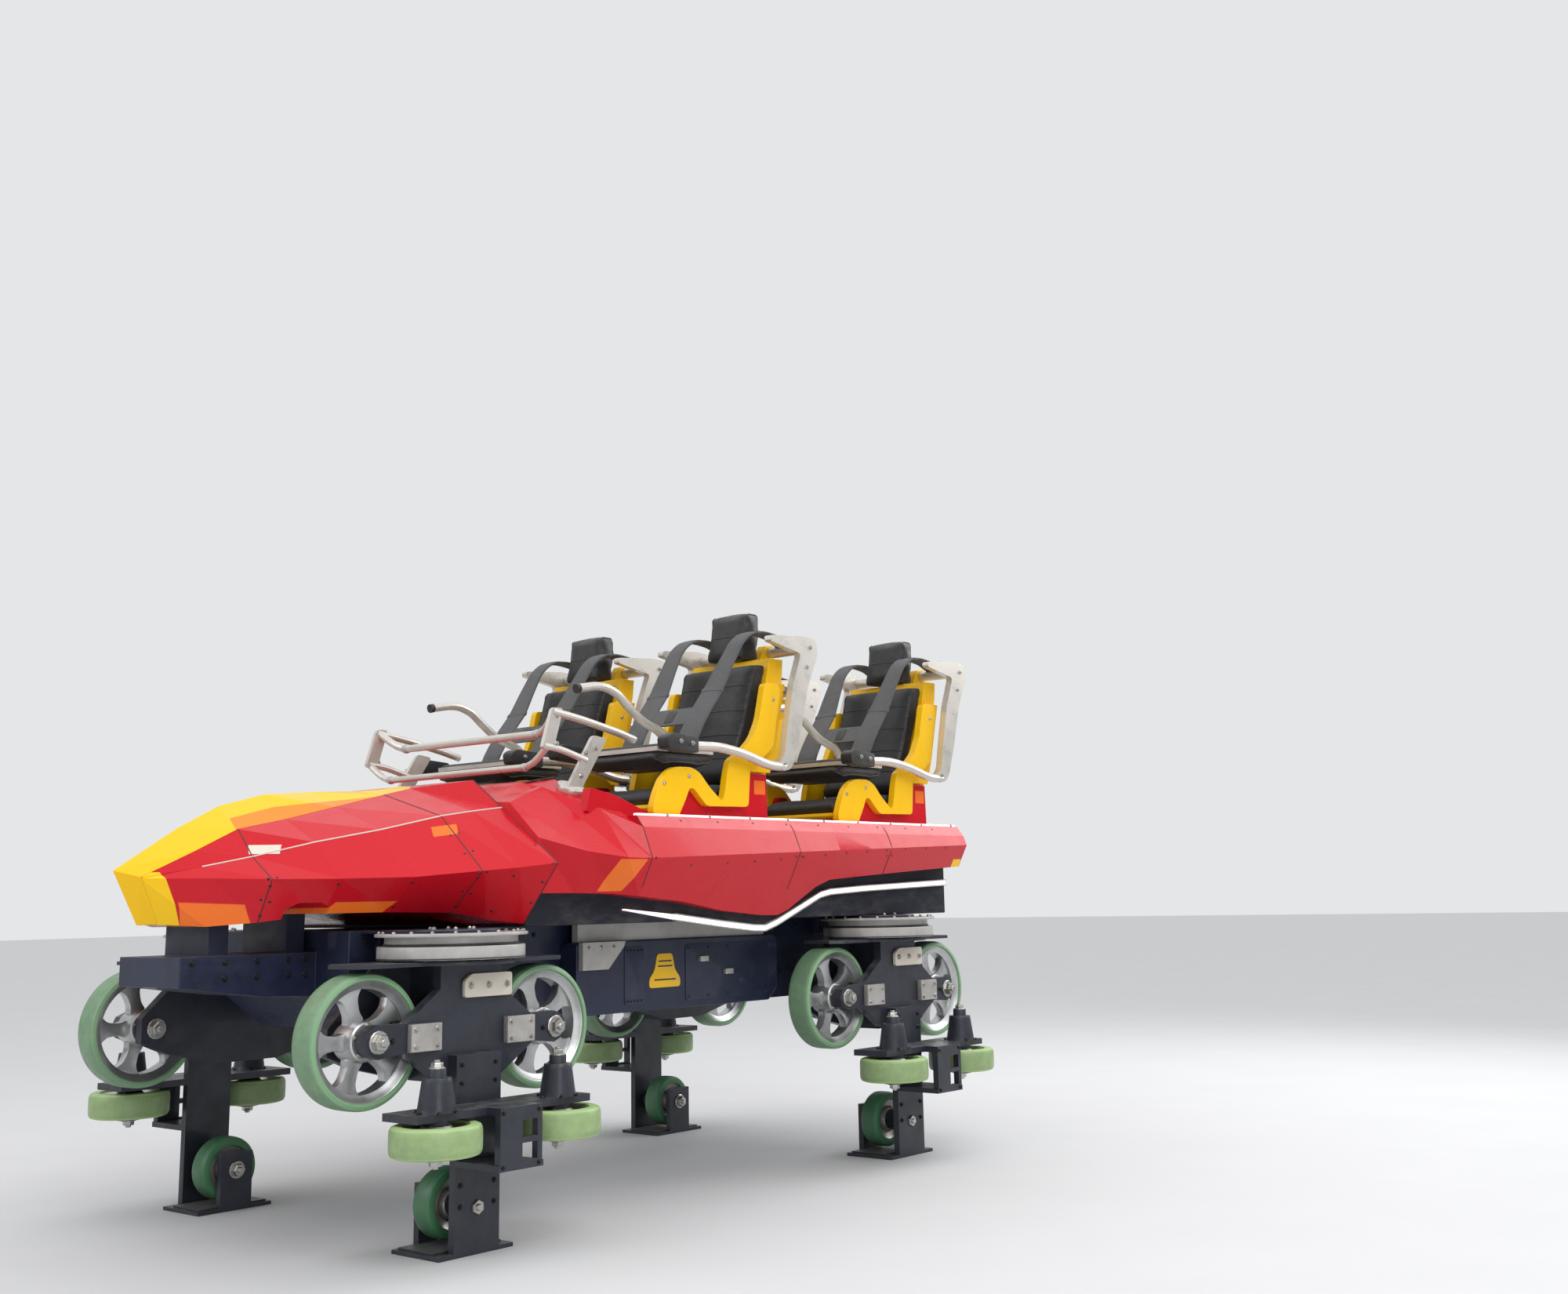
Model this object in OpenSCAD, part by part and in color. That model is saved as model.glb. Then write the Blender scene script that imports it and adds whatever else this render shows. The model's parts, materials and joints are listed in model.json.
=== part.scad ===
/* [Overall] */
// Length from the nose tip to the rear coupling eye
car_len = 3720; // [3680:10:3860]
// Height of the rail top over the floor that the car is parked on
rail_h = 430; // [425:5:460]
// Distance between the centre lines of the two rails
gauge = 1200; // [1180:10:1240]

/* [Wheels] */
// Distance from the nose tip back to the front wheel carriers
front_carrier_s = 790; // [770:10:810]
// Distance between the front and the rear wheel carriers
wheelbase = 2210; // [2180:10:2240]
// Road wheel diameter
road_d = 388; // [370:2:390]
// Road wheel width
road_w = 100; // [80:2:104]
// Distance between the two road wheels of a carrier
tandem = 680; // [660:2:690]
// Side wheel diameter
side_d = 264; // [240:2:270]
// Side wheel width
side_w = 86; // [70:2:90]
// Distance between the two side wheels of a carrier
side_span = 464; // [454:2:474]
// Upstop wheel diameter
stop_d = 210; // [190:2:212]
// Upstop wheel width
stop_w = 80; // [60:2:84]
// Radius of every wheel axle
axle_r = 28; // [24:1:30]
// Radial clearance of a running fit
run_fit = 0.08; // [0.05:0.01:0.1]
// Gap between a wheel hub and the faces beside it
hub_gap = 2; // [1:0.5:4]

/* [Carriers] */
// Radius of the slewing ring
ring_r = 225; // [210:5:230]
// Height of the fixed half of the slewing ring
ring_t = 78; // [70:1:80]
// Radius of the upright pin through the slewing ring
king_r = 40; // [30:1:50]
// Thickness of the outer plate between the side wheels
plate_t = 24; // [20:1:28]

/* [Body] */
// Half width at the top edge of the side panels
sill_y = 705; // [700:1:710]
// Half width of the tub between the side panels
tub_y = 628; // [620:2:628]
// Half width of the central chassis beam
beam_y = 340; // [300:10:350]
// Height of the deck between the side panels over the rail
deck_h = 866; // [860:1:870]
// Thickness of the floor of the foot wells
floor_t = 14; // [10:1:20]

/* [Seats] */
// Distance from the nose tip back to the front of the first seat row
row_s = 1593; // [1588:1:1598]
// Distance between the two rows
row_pitch = 1056; // [1050:2:1060]
// Distance of the seat centre from the centre plane
seat_y = 410; // [406:1:412]
// Half width over the side wings of a seat
seat_half = 252; // [246:1:254]
// Thickness of a seat wing
wing_t = 30; // [24:1:34]
// Radius of the restraint pivot tube
pivot_r = 22; // [18:1:24]
// Radius of the restraint arm tubes
tube_r = 18; // [16:1:20]
// Half width between the centre lines of the restraint arms
arm_y = 283; // [281:1:286]
// Radius of the hand grip tube
grip_r = 16; // [14:1:18]
// Radius of the grab rail tubes
rail_r = 14; // [12:1:16]

/* [Hidden] */
$fn = 64;
LEFT = 1;
RIGHT = -1;
LEAD = 1;
TRAIL = -1;
FRONT = 0;
REAR = 1;
nose_x = car_len / 2;
carrier_s = [front_carrier_s, front_carrier_s + wheelbase];
beam_top = 504;
flange_t = 10;
ring_base = beam_top - flange_t - ring_t;
yoke_top = ring_base - 4;
yoke_t = 12;
stop_drop = 193;
skid_h = 12;
foot_z = -430;
side_axle_y = 830;
side_h = -75;
nose_end = 1065;
cowl_end = 1495;
body_end = car_len - 265;
well_y = 590;
soft_gap = 0.3;
band_gap = 0.2;
strip_t = 16;
strip_h = 18;
shoulder_y = 735;
shoulder_h = deck_h - 40;
pivot_s = 870;
pivot_rise = 45;
lap_up = -425;
plate_up = -440;
box_y = 425;
pin_s = car_len - 160;
pin_r = 18;
eye_s = car_len - 55;
eye_r = 55;

// Nose sections: station, lag of the lower corner behind it, then half width
// and height of the band edge, the shoulder, the crease and the lower corner
NOSE = [
    [58, 72, 60, 676, 59.5, 672, 59, 668, 42, 536],
    [205, 15, 100, 752, 140, 705, 190, 669, 150, 527],
    [340, 0, 115, 821, 200, 734, 310, 664, 240, 536],
    [500, 0, 125, 854, 290, 777, 430, 662, 340, 559],
    [680, 0, 135, 898, 380, 815, 560, 664, 430, 559],
    [860, 0, 150, 943, 450, 859, 660, 680, 510, 553],
    [960, 0, 160, 967, 480, 875, 715, 689, 560, 531],
    [nose_end, 0, 360, 988, 508, 889, 780, 702, 620, 513]
];
// Ridge of the nose band: station, height over the rail
RIDGE = [[0, 697], [205, 828], [340, 898], [500, 940], [680, 954], [860, 963], [960, 974]];
// Cowl sections: station, then half width and height of the top edge, the
// outer edge and the crease, then half width and height of the panel's lower edge
COWL = [
    [nose_end, 380, deck_h + 49, 545, deck_h + 39, 687, deck_h - 81, 650, deck_h - 257],
    [1245, 400, deck_h + 119, 500, deck_h + 99, 730, deck_h - 125, 660, deck_h - 258],
    [1389, 400, deck_h + 139, 636, deck_h + 22, 772, deck_h - 145, 690, deck_h - 262],
    [cowl_end, 420, deck_h + 119, shoulder_y, shoulder_h, 779, deck_h - 146, 714,
        deck_h - 272]
];
// Lower edge of the side panels behind the cowl: station, depth under the deck
PANEL = [
    [cowl_end, 272], [1735, 293], [1960, 327], [2200, 348], [2304, 350], [2355, 331],
    [2476, 248], [2551, 221], [2763, 207], [body_end - 77, 172],
    [body_end, 168]
];
// Lower lit strip: station, depth of its lower edge under the deck,
// height of the strip
STRIP = [
    [1498, 318, 5], [1745, 354, strip_h], [1993, 384, strip_h], [2167, 402, strip_h],
    [2234, 404, strip_h], [2303, 385, strip_h], [2446, 332, strip_h], [2569, 286, strip_h],
    [2634, 275, strip_h], [2849, 264, strip_h], [body_end - 163, 248, strip_h],
    [body_end - 15, 243, strip_h]
];

// Frame x of a station measured back from the nose tip
function st(s) = nose_x - s;
// Floor height of a height over the rail top
function ht(h) = rail_h + h;
// Frame z of a height over the deck
function up(h) = ht(deck_h + h);
// Outlines whose heights are over the deck, as heights over the rail
function over_deck(outline) = [for (p = outline) [p[0], deck_h + p[1]]];
// The same for outlines that start at the front of the first row
function in_row(outline) = [for (p = outline) [row_s + p[0], deck_h + p[1]]];
function unit(v) = v / norm(v);
// Height of the nose's lower edge at a station
function nose_low(s) = lookup(s, [for (n = NOSE) [n[0] + n[1], n[9]]]);
// Crease of the side panels behind the cowl: height, then half width at that height
function crease_h(s) = deck_h - 146 + (s - cowl_end) * 0.0344;
function crease_y(s) = shoulder_y + (shoulder_h - crease_h(s)) * 0.4128;
// Half width of the panel's lower edge, which keeps each lower facet flat
function lower_y(s, h) = crease_y(s) - (crease_h(s) - h) * 0.516;

// Points of a soft bend that replaces the corner b between a and c
function bend(a, b, c, r, k) =
    let (u = unit(a - b), v = unit(c - b))
    let (t = min(r, norm(a - b) * 0.45, norm(c - b) * 0.45))
    let (p = b + u * t, q = b + v * t)
    [for (i = [0:k]) let (w = i / k) p * (1 - w) * (1 - w) + 2 * b * w * (1 - w) + q * w * w];
// Path with every inner corner bent
function bent(path, r, k) = [
    for (i = [0:len(path) - 1])
        each (i == 0 || i == len(path) - 1)
            ? [path[i]]
            : bend(path[i - 1], path[i], path[i + 1], r, k)
];
// Closed outline with every corner bent
function soft(outline, r, k = 3) =
    let (n = len(outline))
    [for (i = [0:n - 1]) each bend(outline[(i + n - 1) % n], outline[i], outline[(i + 1) % n], r, k)];
function tangents(p) = [
    for (i = [0:len(p) - 1]) unit(p[min(i + 1, len(p) - 1)] - p[max(i - 1, 0)])
];
// One side vector a ring, carried along the path without twist
function carried(t, n, i = 0) =
    i >= len(t) ? [] :
    let (m = unit(n - (n * t[i]) * t[i])) concat([m], carried(t, m, i + 1));
// Outline of a flat path thickened by w
function ribbon(p, w) = let (
    side = [
        for (i = [0:len(p) - 1])
            let (t = unit(p[min(i + 1, len(p) - 1)] - p[max(i - 1, 0)])) [-t.y, t.x] * w / 2
    ]
) concat(
    [for (i = [0:len(p) - 1]) p[i] + side[i]],
    [for (i = [len(p) - 1:-1:0]) p[i] - side[i]]
);

// Closed skin through rings of equal length; the two halves of a ring mirror each other
module loft(rings) {
    n = len(rings[0]);
    last = (len(rings) - 1) * n;
    sides = [
        for (i = [0:len(rings) - 2]) for (j = [0:n - 1])
            let (a = i * n + j, b = i * n + (j + 1) % n)
                each j < n / 2
                    ? [[a, b, b + n], [a, b + n, a + n]]
                    : [[a, b, a + n], [b, b + n, a + n]]
    ];
    polyhedron(
        [for (r = rings) for (p = r) p],
        concat([[for (j = [n - 1:-1:0]) j]], sides, [[for (j = [0:n - 1]) last + j]]),
        convexity = 8
    );
}

// Round tube of radius r along a path, its inner corners bent
module tube(path, r, bend_r = 60, k = 3, sides = 12) {
    p = bent(path, bend_r, k);
    t = tangents(p);
    n = carried(t, abs(t[0].z) > 0.8 ? [1, 0, 0] : [0, 0, 1]);
    loft([
        for (i = [0:len(p) - 1]) [
            for (j = [0:sides - 1])
                let (a = -360 * j / sides) p[i] + r * (cos(a) * n[i] + sin(a) * cross(t[i], n[i]))
        ]
    ]);
}

// Children drawn on the left, or mirrored to the right
module on_side(side) {
    if (side > 0) children();
    else mirror([0, 1, 0]) children();
}

// Block between two stations, two half widths and two heights over the rail
module block(s0, s1, y0, y1, h0, h1) {
    translate([st(s1), y0, ht(h0)]) cube([s1 - s0, y1 - y0, h1 - h0]);
}

// Side outline of [station, height] points, extruded between two y values
module slab(outline, y0, y1) {
    translate([0, y1, 0]) rotate([90, 0, 0]) linear_extrude(y1 - y0)
        polygon([for (p = outline) [st(p[0]), ht(p[1])]]);
}

// Side outline of [forward, up] points about a local origin
module plate(outline, y0, y1) {
    translate([0, y1, 0]) rotate([90, 0, 0]) linear_extrude(y1 - y0) polygon(outline);
}

// Bar of length w along y, centred on a point
module boss(x, y, z, w, r) {
    translate([x, y + w / 2, z]) rotate([90, 0, 0]) cylinder(h = w, r = r);
}

// Round bar along y between two y values at a station and height
module cross_bar(s, h, y0, y1, r) {
    boss(st(s), (y0 + y1) / 2, ht(h), y1 - y0, r);
}

// Faceted fairing; the notch in its lower edge clears the front bracket
module nose_shell() {
    notch = [[392, 480], [400, 574], [430, 592], [485, 592], [512, 574], [522, 480]];
    color("crimson") difference() {
        loft([
            for (n = NOSE) let (
                half = [for (i = [0:3]) [n[0] + (n[3] - n[3 + 2 * i]) / (n[3] - n[9]) * n[1],
                    n[2 + 2 * i], n[3 + 2 * i]]]
            ) concat(
                [for (p = half) [st(p[0]), -p[1], ht(p[2])]],
                [for (i = [3:-1:0]) [st(half[i][0]), half[i][1], ht(half[i][2])]]
            )
        ]);
        slab(notch, -600, 600);
    }
}

// Band along the ridge and down the front edge
module nose_band() {
    tail_s = 1040;
    tail_h = lookup(tail_s, [for (n = NOSE) [n[0], n[3]]]);
    tip = NOSE[0];
    color("gold") translate([band_gap, 0, band_gap]) loft(concat(
        [[
            [st(84), 0, ht(535)],
            [st(tip[0] + tip[1]), -tip[8], ht(tip[9])],
            [st(tip[0] + tip[1]), tip[8], ht(tip[9])]
        ]],
        [for (i = [0:len(RIDGE) - 1]) let (n = NOSE[i], r = RIDGE[i]) [
            [st(r[0]), 0, ht(r[1])], [st(n[0]), -n[2], ht(n[3])], [st(n[0]), n[2], ht(n[3])]
        ]],
        [[
            [st(tail_s), 0, ht(tail_h + 4)], [st(tail_s), -60, ht(tail_h)],
            [st(tail_s), 60, ht(tail_h)]
        ]]
    ));
}

module side_panel(side) {
    color("crimson") on_side(side) {
        loft([
            for (c = COWL) let (x = st(c[0])) [
                [x, tub_y, ht(c[6])], [x, tub_y, ht(c[8])],
                [x, c[7], ht(c[8])], [x, c[5], ht(c[6])]
            ]
        ]);
        loft([
            for (p = PANEL) let (s = p[0], h = deck_h - p[1], x = st(s)) [
                [x, tub_y, ht(deck_h)], [x, tub_y, ht(h)], [x, lower_y(s, h), ht(h)],
                [x, crease_y(s), ht(crease_h(s))], [x, shoulder_y, ht(shoulder_h)],
                [x, sill_y, ht(deck_h)]
            ]
        ]);
    }
}

// Outer form of the cowl, also used to cut whatever stands on it
module cowl_form() {
    loft([
        for (c = COWL) let (x = st(c[0])) [
            [x, -c[1], ht(c[2])], [x, -c[3], ht(c[4])], [x, -c[5], ht(c[6])],
            [x, c[5], ht(c[6])], [x, c[3], ht(c[4])], [x, c[1], ht(c[2])]
        ]
    ]);
}

// Raised cowl, hollow over the front foot well, with a fairing beside each knee
module front_cowl() {
    fairing = [
        [1330, 14], [1352, 92], [1455, 75], [1528, 51], [1585, 31], [1634, 20],
        [1650, 0], [cowl_end, 0], [cowl_end - 10, -16]
    ];
    knee_y = well_y - 30;
    color("crimson") difference() {
        union() {
            cowl_form();
            for (side = [LEFT, RIGHT]) on_side(side) slab(over_deck(fairing), well_y, tub_y);
        }
        slab(over_deck([[1200, -166], [1200, -66], [1260, -8], [1600, -8], [1600, -166]]),
            -knee_y, knee_y);
    }
}

// Lit strips: one on the sill of each panel, one along its recessed skirt
module light_strips() {
    color("white") for (side = [LEFT, RIGHT]) on_side(side) {
        loft([
            for (p = STRIP) let (x = st(p[0]), low = up(-p[1])) [
                [x, tub_y, low], [x, tub_y + strip_t, low],
                [x, tub_y + strip_t, low + p[2]], [x, tub_y, low + p[2]]
            ]
        ]);
        block(cowl_end, body_end - 15, sill_y - 18, sill_y, deck_h, deck_h + 8);
    }
}

// Tub with its two foot wells; skirts hang down beside the chassis
module body_tub() {
    skirt_t = 20;
    rear_row = row_s + row_pitch;
    color("dimgray") difference() {
        union() {
            slab(concat(
                [[nose_end, beam_top]],
                [for (c = COWL) [c[0], c[6]]],
                [[cowl_end, deck_h], [body_end, deck_h], [body_end, beam_top]]
            ), -tub_y, tub_y);
            for (y = [-tub_y, tub_y - skirt_t]) slab(over_deck(concat(
                [[nose_end, -306], [nose_end, -346]],
                [for (p = STRIP) [p[0], -p[1]]],
                [[body_end, -246], [body_end, -166]]
            )), y, y + skirt_t);
        }
        block(1095, row_s + 60, -well_y, well_y, beam_top + floor_t, deck_h + 234);
        block(rear_row - 340, rear_row + 60, -well_y, well_y, beam_top + floor_t, deck_h + 234);
    }
}

// Welded frame: front tongue, main beam with open bays, cross plates over the rings
module chassis_frame() {
    tongue_y = 170;
    arm_reach = gauge / 2 - ring_r - 16;
    color("midnightblue") difference() {
        union() {
            slab([
                [600, 300], [600, beam_top], [body_end, beam_top], [body_end, 300],
                [body_end - 155, 190], [740, 190]
            ], -beam_y, beam_y);
            slab([[130, 352], [130, 440], [700, 440], [700, 300], [420, 312]], -tongue_y, tongue_y);
            for (s = [[250, 320], [520, 590]]) slab([
                [s[0], 436], [s[0], nose_low(s[0])], [s[1], nose_low(s[1])], [s[1], 436]
            ], -tongue_y + 50, tongue_y - 50);
            for (c = carrier_s) {
                block(c - 150, c + 150, -gauge / 2, gauge / 2, beam_top - flange_t, beam_top);
                for (side = [LEFT, RIGHT])
                    translate([st(c), side * gauge / 2, ht(beam_top - flange_t)])
                        cylinder(h = flange_t, r = 150);
                block(c - 90, c + 90, -arm_reach, arm_reach, 430, beam_top - flange_t / 2);
            }
            for (h = [296, 382]) block(body_end - 40, pin_s + 40, -50, 50, h, h + 32);
            translate([st(pin_s), 0, ht(296)]) cylinder(h = 118, r = pin_r);
        }
        for (c = carrier_s) for (side = [LEFT, RIGHT])
            translate([st(c), side * gauge / 2, ht(0)])
                cylinder(h = 900, r = king_r + run_fit);
        for (s = [960, 1480, 2000, 2520]) block(s, s + 440, -beam_y + 70, beam_y - 70, 0, 480);
    }
}

// Slewing rings: flange under the cross plate, neck, and the ring band
module slewing_rings() {
    band_t = 40;
    color("gainsboro") for (c = carrier_s) for (side = [LEFT, RIGHT])
        translate([st(c), side * gauge / 2, ht(ring_base)]) difference() {
            union() {
                cylinder(h = band_t, r = ring_r);
                cylinder(h = ring_t, r = ring_r - 22);
                translate([0, 0, ring_t - flange_t]) cylinder(h = flange_t, r = ring_r + 8);
            }
            translate([0, 0, -1]) cylinder(h = ring_t + 2, r = king_r + run_fit);
        }
}

// Boxes on both sides of the beam between the wheel carriers
module equipment_boxes() {
    box = [
        [1480, 236], [1480, 430], [1500, 440], [2540, 440], [2560, 430], [2560, 236],
        [2510, 190], [1530, 190]
    ];
    color("midnightblue") for (side = [LEFT, RIGHT]) on_side(side) slab(box, beam_y, box_y);
}

// Trapezoid brackets on the boxes, and the upper rail that ties them to the tub
module side_brackets() {
    color("silver") for (side = [LEFT, RIGHT]) on_side(side) {
        slab([[1490, 345], [1490, 440], [1700, 440], [1690, 420], [1615, 345]], box_y, box_y + 22);
        block(1500, 2500, 380, 410, 440, beam_top);
    }
}

// Seat bases: box under each pan and a side plate inside each wing
module seat_bases() {
    base_y = seat_half - wing_t;
    base_t = 20;
    cheek = [
        [110, 0], [128, 34], [200, 132], [252, 134], [335, 66], [545, 66],
        [552, 177], [676, 177], [682, 0]
    ];
    color("firebrick") for (row = [0, 1]) for (side = [LEFT, RIGHT])
        translate([-row * row_pitch, side * seat_y, 0]) {
            slab(in_row([[62, 0], [62, 24], [540, 24], [540, 0]]),
                -base_y + base_t, base_y - base_t);
            for (y = [-base_y, base_y - base_t])
                slab(in_row(cheek), y, y + base_t);
        }
}

// Side outline of a seat wing: distance behind the row's front, height over the deck
WING = [
    [30, 4], [26, 34], [46, 86], [74, 137], [114, 169], [147, 181], [225, 182],
    [270, 165], [320, 116], [392, 64], [404, 94], [416, 157], [434, 218], [510, 262],
    [566, 309], [606, 379], [644, 526], [720, 526], [738, 504], [708, 374],
    [690, 284], [640, 244], [552, 196], [549, 178], [537, 49], [306, 45],
    [236, 107], [215, 106], [194, 64], [165, 18], [160, 4]
];
// Side outline of the shell behind the back cushion: distance behind the row's front, height
// over the deck; the pan's top is the second row, the back's top the seventh
BACK = [
    [500, 24], [505, 46], [556, 134], [612, 264], [662, 394], [704, 524], [732, 634],
    [812, 634], [806, 564], [772, 434], [738, 294], [690, 154], [640, 24]
];
pan_up = BACK[1][1];
back_up = BACK[6][1];
pivot_up = back_up + pivot_rise;

module seat_shell() {
    wing_y = seat_half - wing_t;
    wing = soft(in_row(WING), 16, 2);
    for (y = [-seat_half, wing_y]) slab(wing, y, y + wing_t);
    slab(in_row([[60, 24], [56, 34], [60, pan_up], [520, pan_up], [520, 24]]),
        -wing_y + 20, wing_y - 20);
    slab(in_row(BACK), -wing_y + 20, wing_y - 20);
    intersection() {
        slab(in_row(BACK), -wing_y, wing_y);
        block(row_s, row_s + 900, -wing_y, wing_y, deck_h + 184, deck_h + 534);
    }
}

module seat_shells(row) {
    lug = [
        [775, back_up - 80], [795, back_up], [pivot_s - 28, pivot_up + 27],
        [pivot_s + 15, pivot_up + 33], [pivot_s + 32, pivot_up], [pivot_s + 2, pivot_up - 55],
        [815, back_up - 110]
    ];
    color("gold") translate([-row * row_pitch, 0, 0]) for (side = [LEFT, RIGHT])
        translate([0, side * seat_y, 0]) difference() {
            union() {
                seat_shell();
                for (y = [-70, 70])
                    slab(in_row(lug), y - 20, y + 20);
            }
            cross_bar(row_s + pivot_s, deck_h + pivot_up, -200, 200, pivot_r + run_fit);
        }
}

// Seat and back cushions, and the headrest on top
module seat_pads(row) {
    pad_up = back_up - 12;
    slope = [for (i = [5, 6]) [BACK[i][1], BACK[i][0]]];
    front = [
        [70, pan_up + soft_gap], [58, 68], [72, 92], [120, 100], [400, 96], [462, 114],
        [520, 224], [576, 354], [622, 484], [655, 584], [668, pad_up]
    ];
    color("black") translate([-row * row_pitch, 0, 0]) for (side = [LEFT, RIGHT])
        translate([0, side * seat_y, 0]) {
            slab(in_row(concat(
                front,
                [[lookup(pad_up, slope) - soft_gap, pad_up]],
                [for (i = [5:-1:2]) [BACK[i][0] - soft_gap, BACK[i][1]]],
                [[BACK[1][0] - soft_gap, pan_up + soft_gap]]
            )), -198, 198);
            slab(in_row([
                [690, back_up + soft_gap], [705, back_up + 120], [722, back_up + 200],
                [800, back_up + 200], [812, back_up + 120], [786, back_up + soft_gap]
            ]), -100, 100);
        }
}

// Grab rail over the cowl: two posts, two side tubes each side, two cross tubes
module grab_rail() {
    post_y = 490;
    foot = 50;
    color("gainsboro") {
        for (side = [LEFT, RIGHT]) on_side(side) {
            difference() {
                union() {
                    translate([st(1389), post_y, up(98)]) rotate([-26.5, 0, 0])
                        cylinder(h = 20, r = foot, center = true);
                    slab(over_deck(soft([[1358, 84], [1490, 290], [1556, 280], [1424, 84]], 14)),
                        post_y - 8, post_y + 8);
                }
                cowl_form();
            }
            slab(over_deck(soft([[1296, 374], [1345, 374], [1300, 224], [1250, 230]], 14)),
                post_y - 8, post_y + 8);
            tube([[st(1300), post_y, up(360)], [st(1432), post_y, up(342)],
                [st(1625), post_y, up(305)], [st(1700), post_y, up(286)]], rail_r);
            tube([[st(1262), post_y, up(240)], [st(1340), post_y, up(232)],
                [st(1460), post_y, up(200)]], rail_r - 2);
        }
        tube([[st(1310), -post_y, up(360)], [st(1345), -400, up(294)],
            [st(1345), 400, up(294)], [st(1310), post_y, up(360)]], rail_r, 50);
        tube([[st(1275), -post_y, up(234)], [st(1282), -405, up(174)],
            [st(1282), 405, up(174)], [st(1275), post_y, up(234)]], rail_r - 2, 50);
    }
}

module drawbar() {
    color("dimgray") difference() {
        union() {
            block(pin_s, eye_s, -35, 35, 330, 380);
            for (s = [pin_s, eye_s]) translate([st(s), 0, ht(330)]) cylinder(h = 50, r = eye_r);
        }
        for (s = [pin_s, eye_s]) translate([st(s), 0, ht(300)]) cylinder(h = 110, r = pin_r + run_fit);
    }
}

// Wheel with its axis along y, centred on its bore; spokes stand between the windows
module wheel(d, w, rim_r, hub_r, hub_w, windows) {
    edge = 10;
    disc = w * 0.3;
    half_angle = 22;
    rotate([90, 0, 0]) difference() {
        rotate_extrude() polygon([
            [axle_r + run_fit, -hub_w / 2], [hub_r, -hub_w / 2], [hub_r, -disc / 2],
            [rim_r, -disc / 2], [rim_r, -w / 2], [d / 2 - edge, -w / 2],
            [d / 2, -w / 2 + edge], [d / 2, w / 2 - edge], [d / 2 - edge, w / 2],
            [rim_r, w / 2], [rim_r, disc / 2], [hub_r, disc / 2],
            [hub_r, hub_w / 2], [axle_r + run_fit, hub_w / 2]
        ]);
        if (windows > 0) for (i = [0:windows - 1])
            rotate([0, 0, i * 360 / windows]) translate([0, 0, -w]) linear_extrude(2 * w)
                polygon(concat(
                    [for (a = [-half_angle:11:half_angle]) (rim_r - 10) * [cos(a), sin(a)]],
                    [for (a = [half_angle:-11:-half_angle])
                        (hub_r + 14) * [cos(a * 0.7), sin(a * 0.7)]]
                ));
    }
}

// Children placed at a carrier: origin over the rail centre at rail height
module at_carrier(end, side) {
    on_side(side) translate([st(carrier_s[end]), gauge / 2, rail_h]) children();
}

module road_wheel(end, side, place) {
    color("palegreen") at_carrier(end, side)
        translate([place * tandem / 2, 0, road_d / 2]) wheel(road_d, road_w, 150, 60, 92, 5);
}

module side_wheel(end, side, place) {
    color("palegreen") at_carrier(end, side)
        translate([place * side_span / 2, side_axle_y - gauge / 2, side_h])
            rotate([90, 0, 0]) wheel(side_d, side_w, 95, 50, 80, 0);
}

module stop_wheel(end, side) {
    color("seagreen") at_carrier(end, side)
        translate([0, 0, -stop_drop - stop_d / 2]) wheel(stop_d, stop_w, 75, 45, 76, 0);
}

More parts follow.
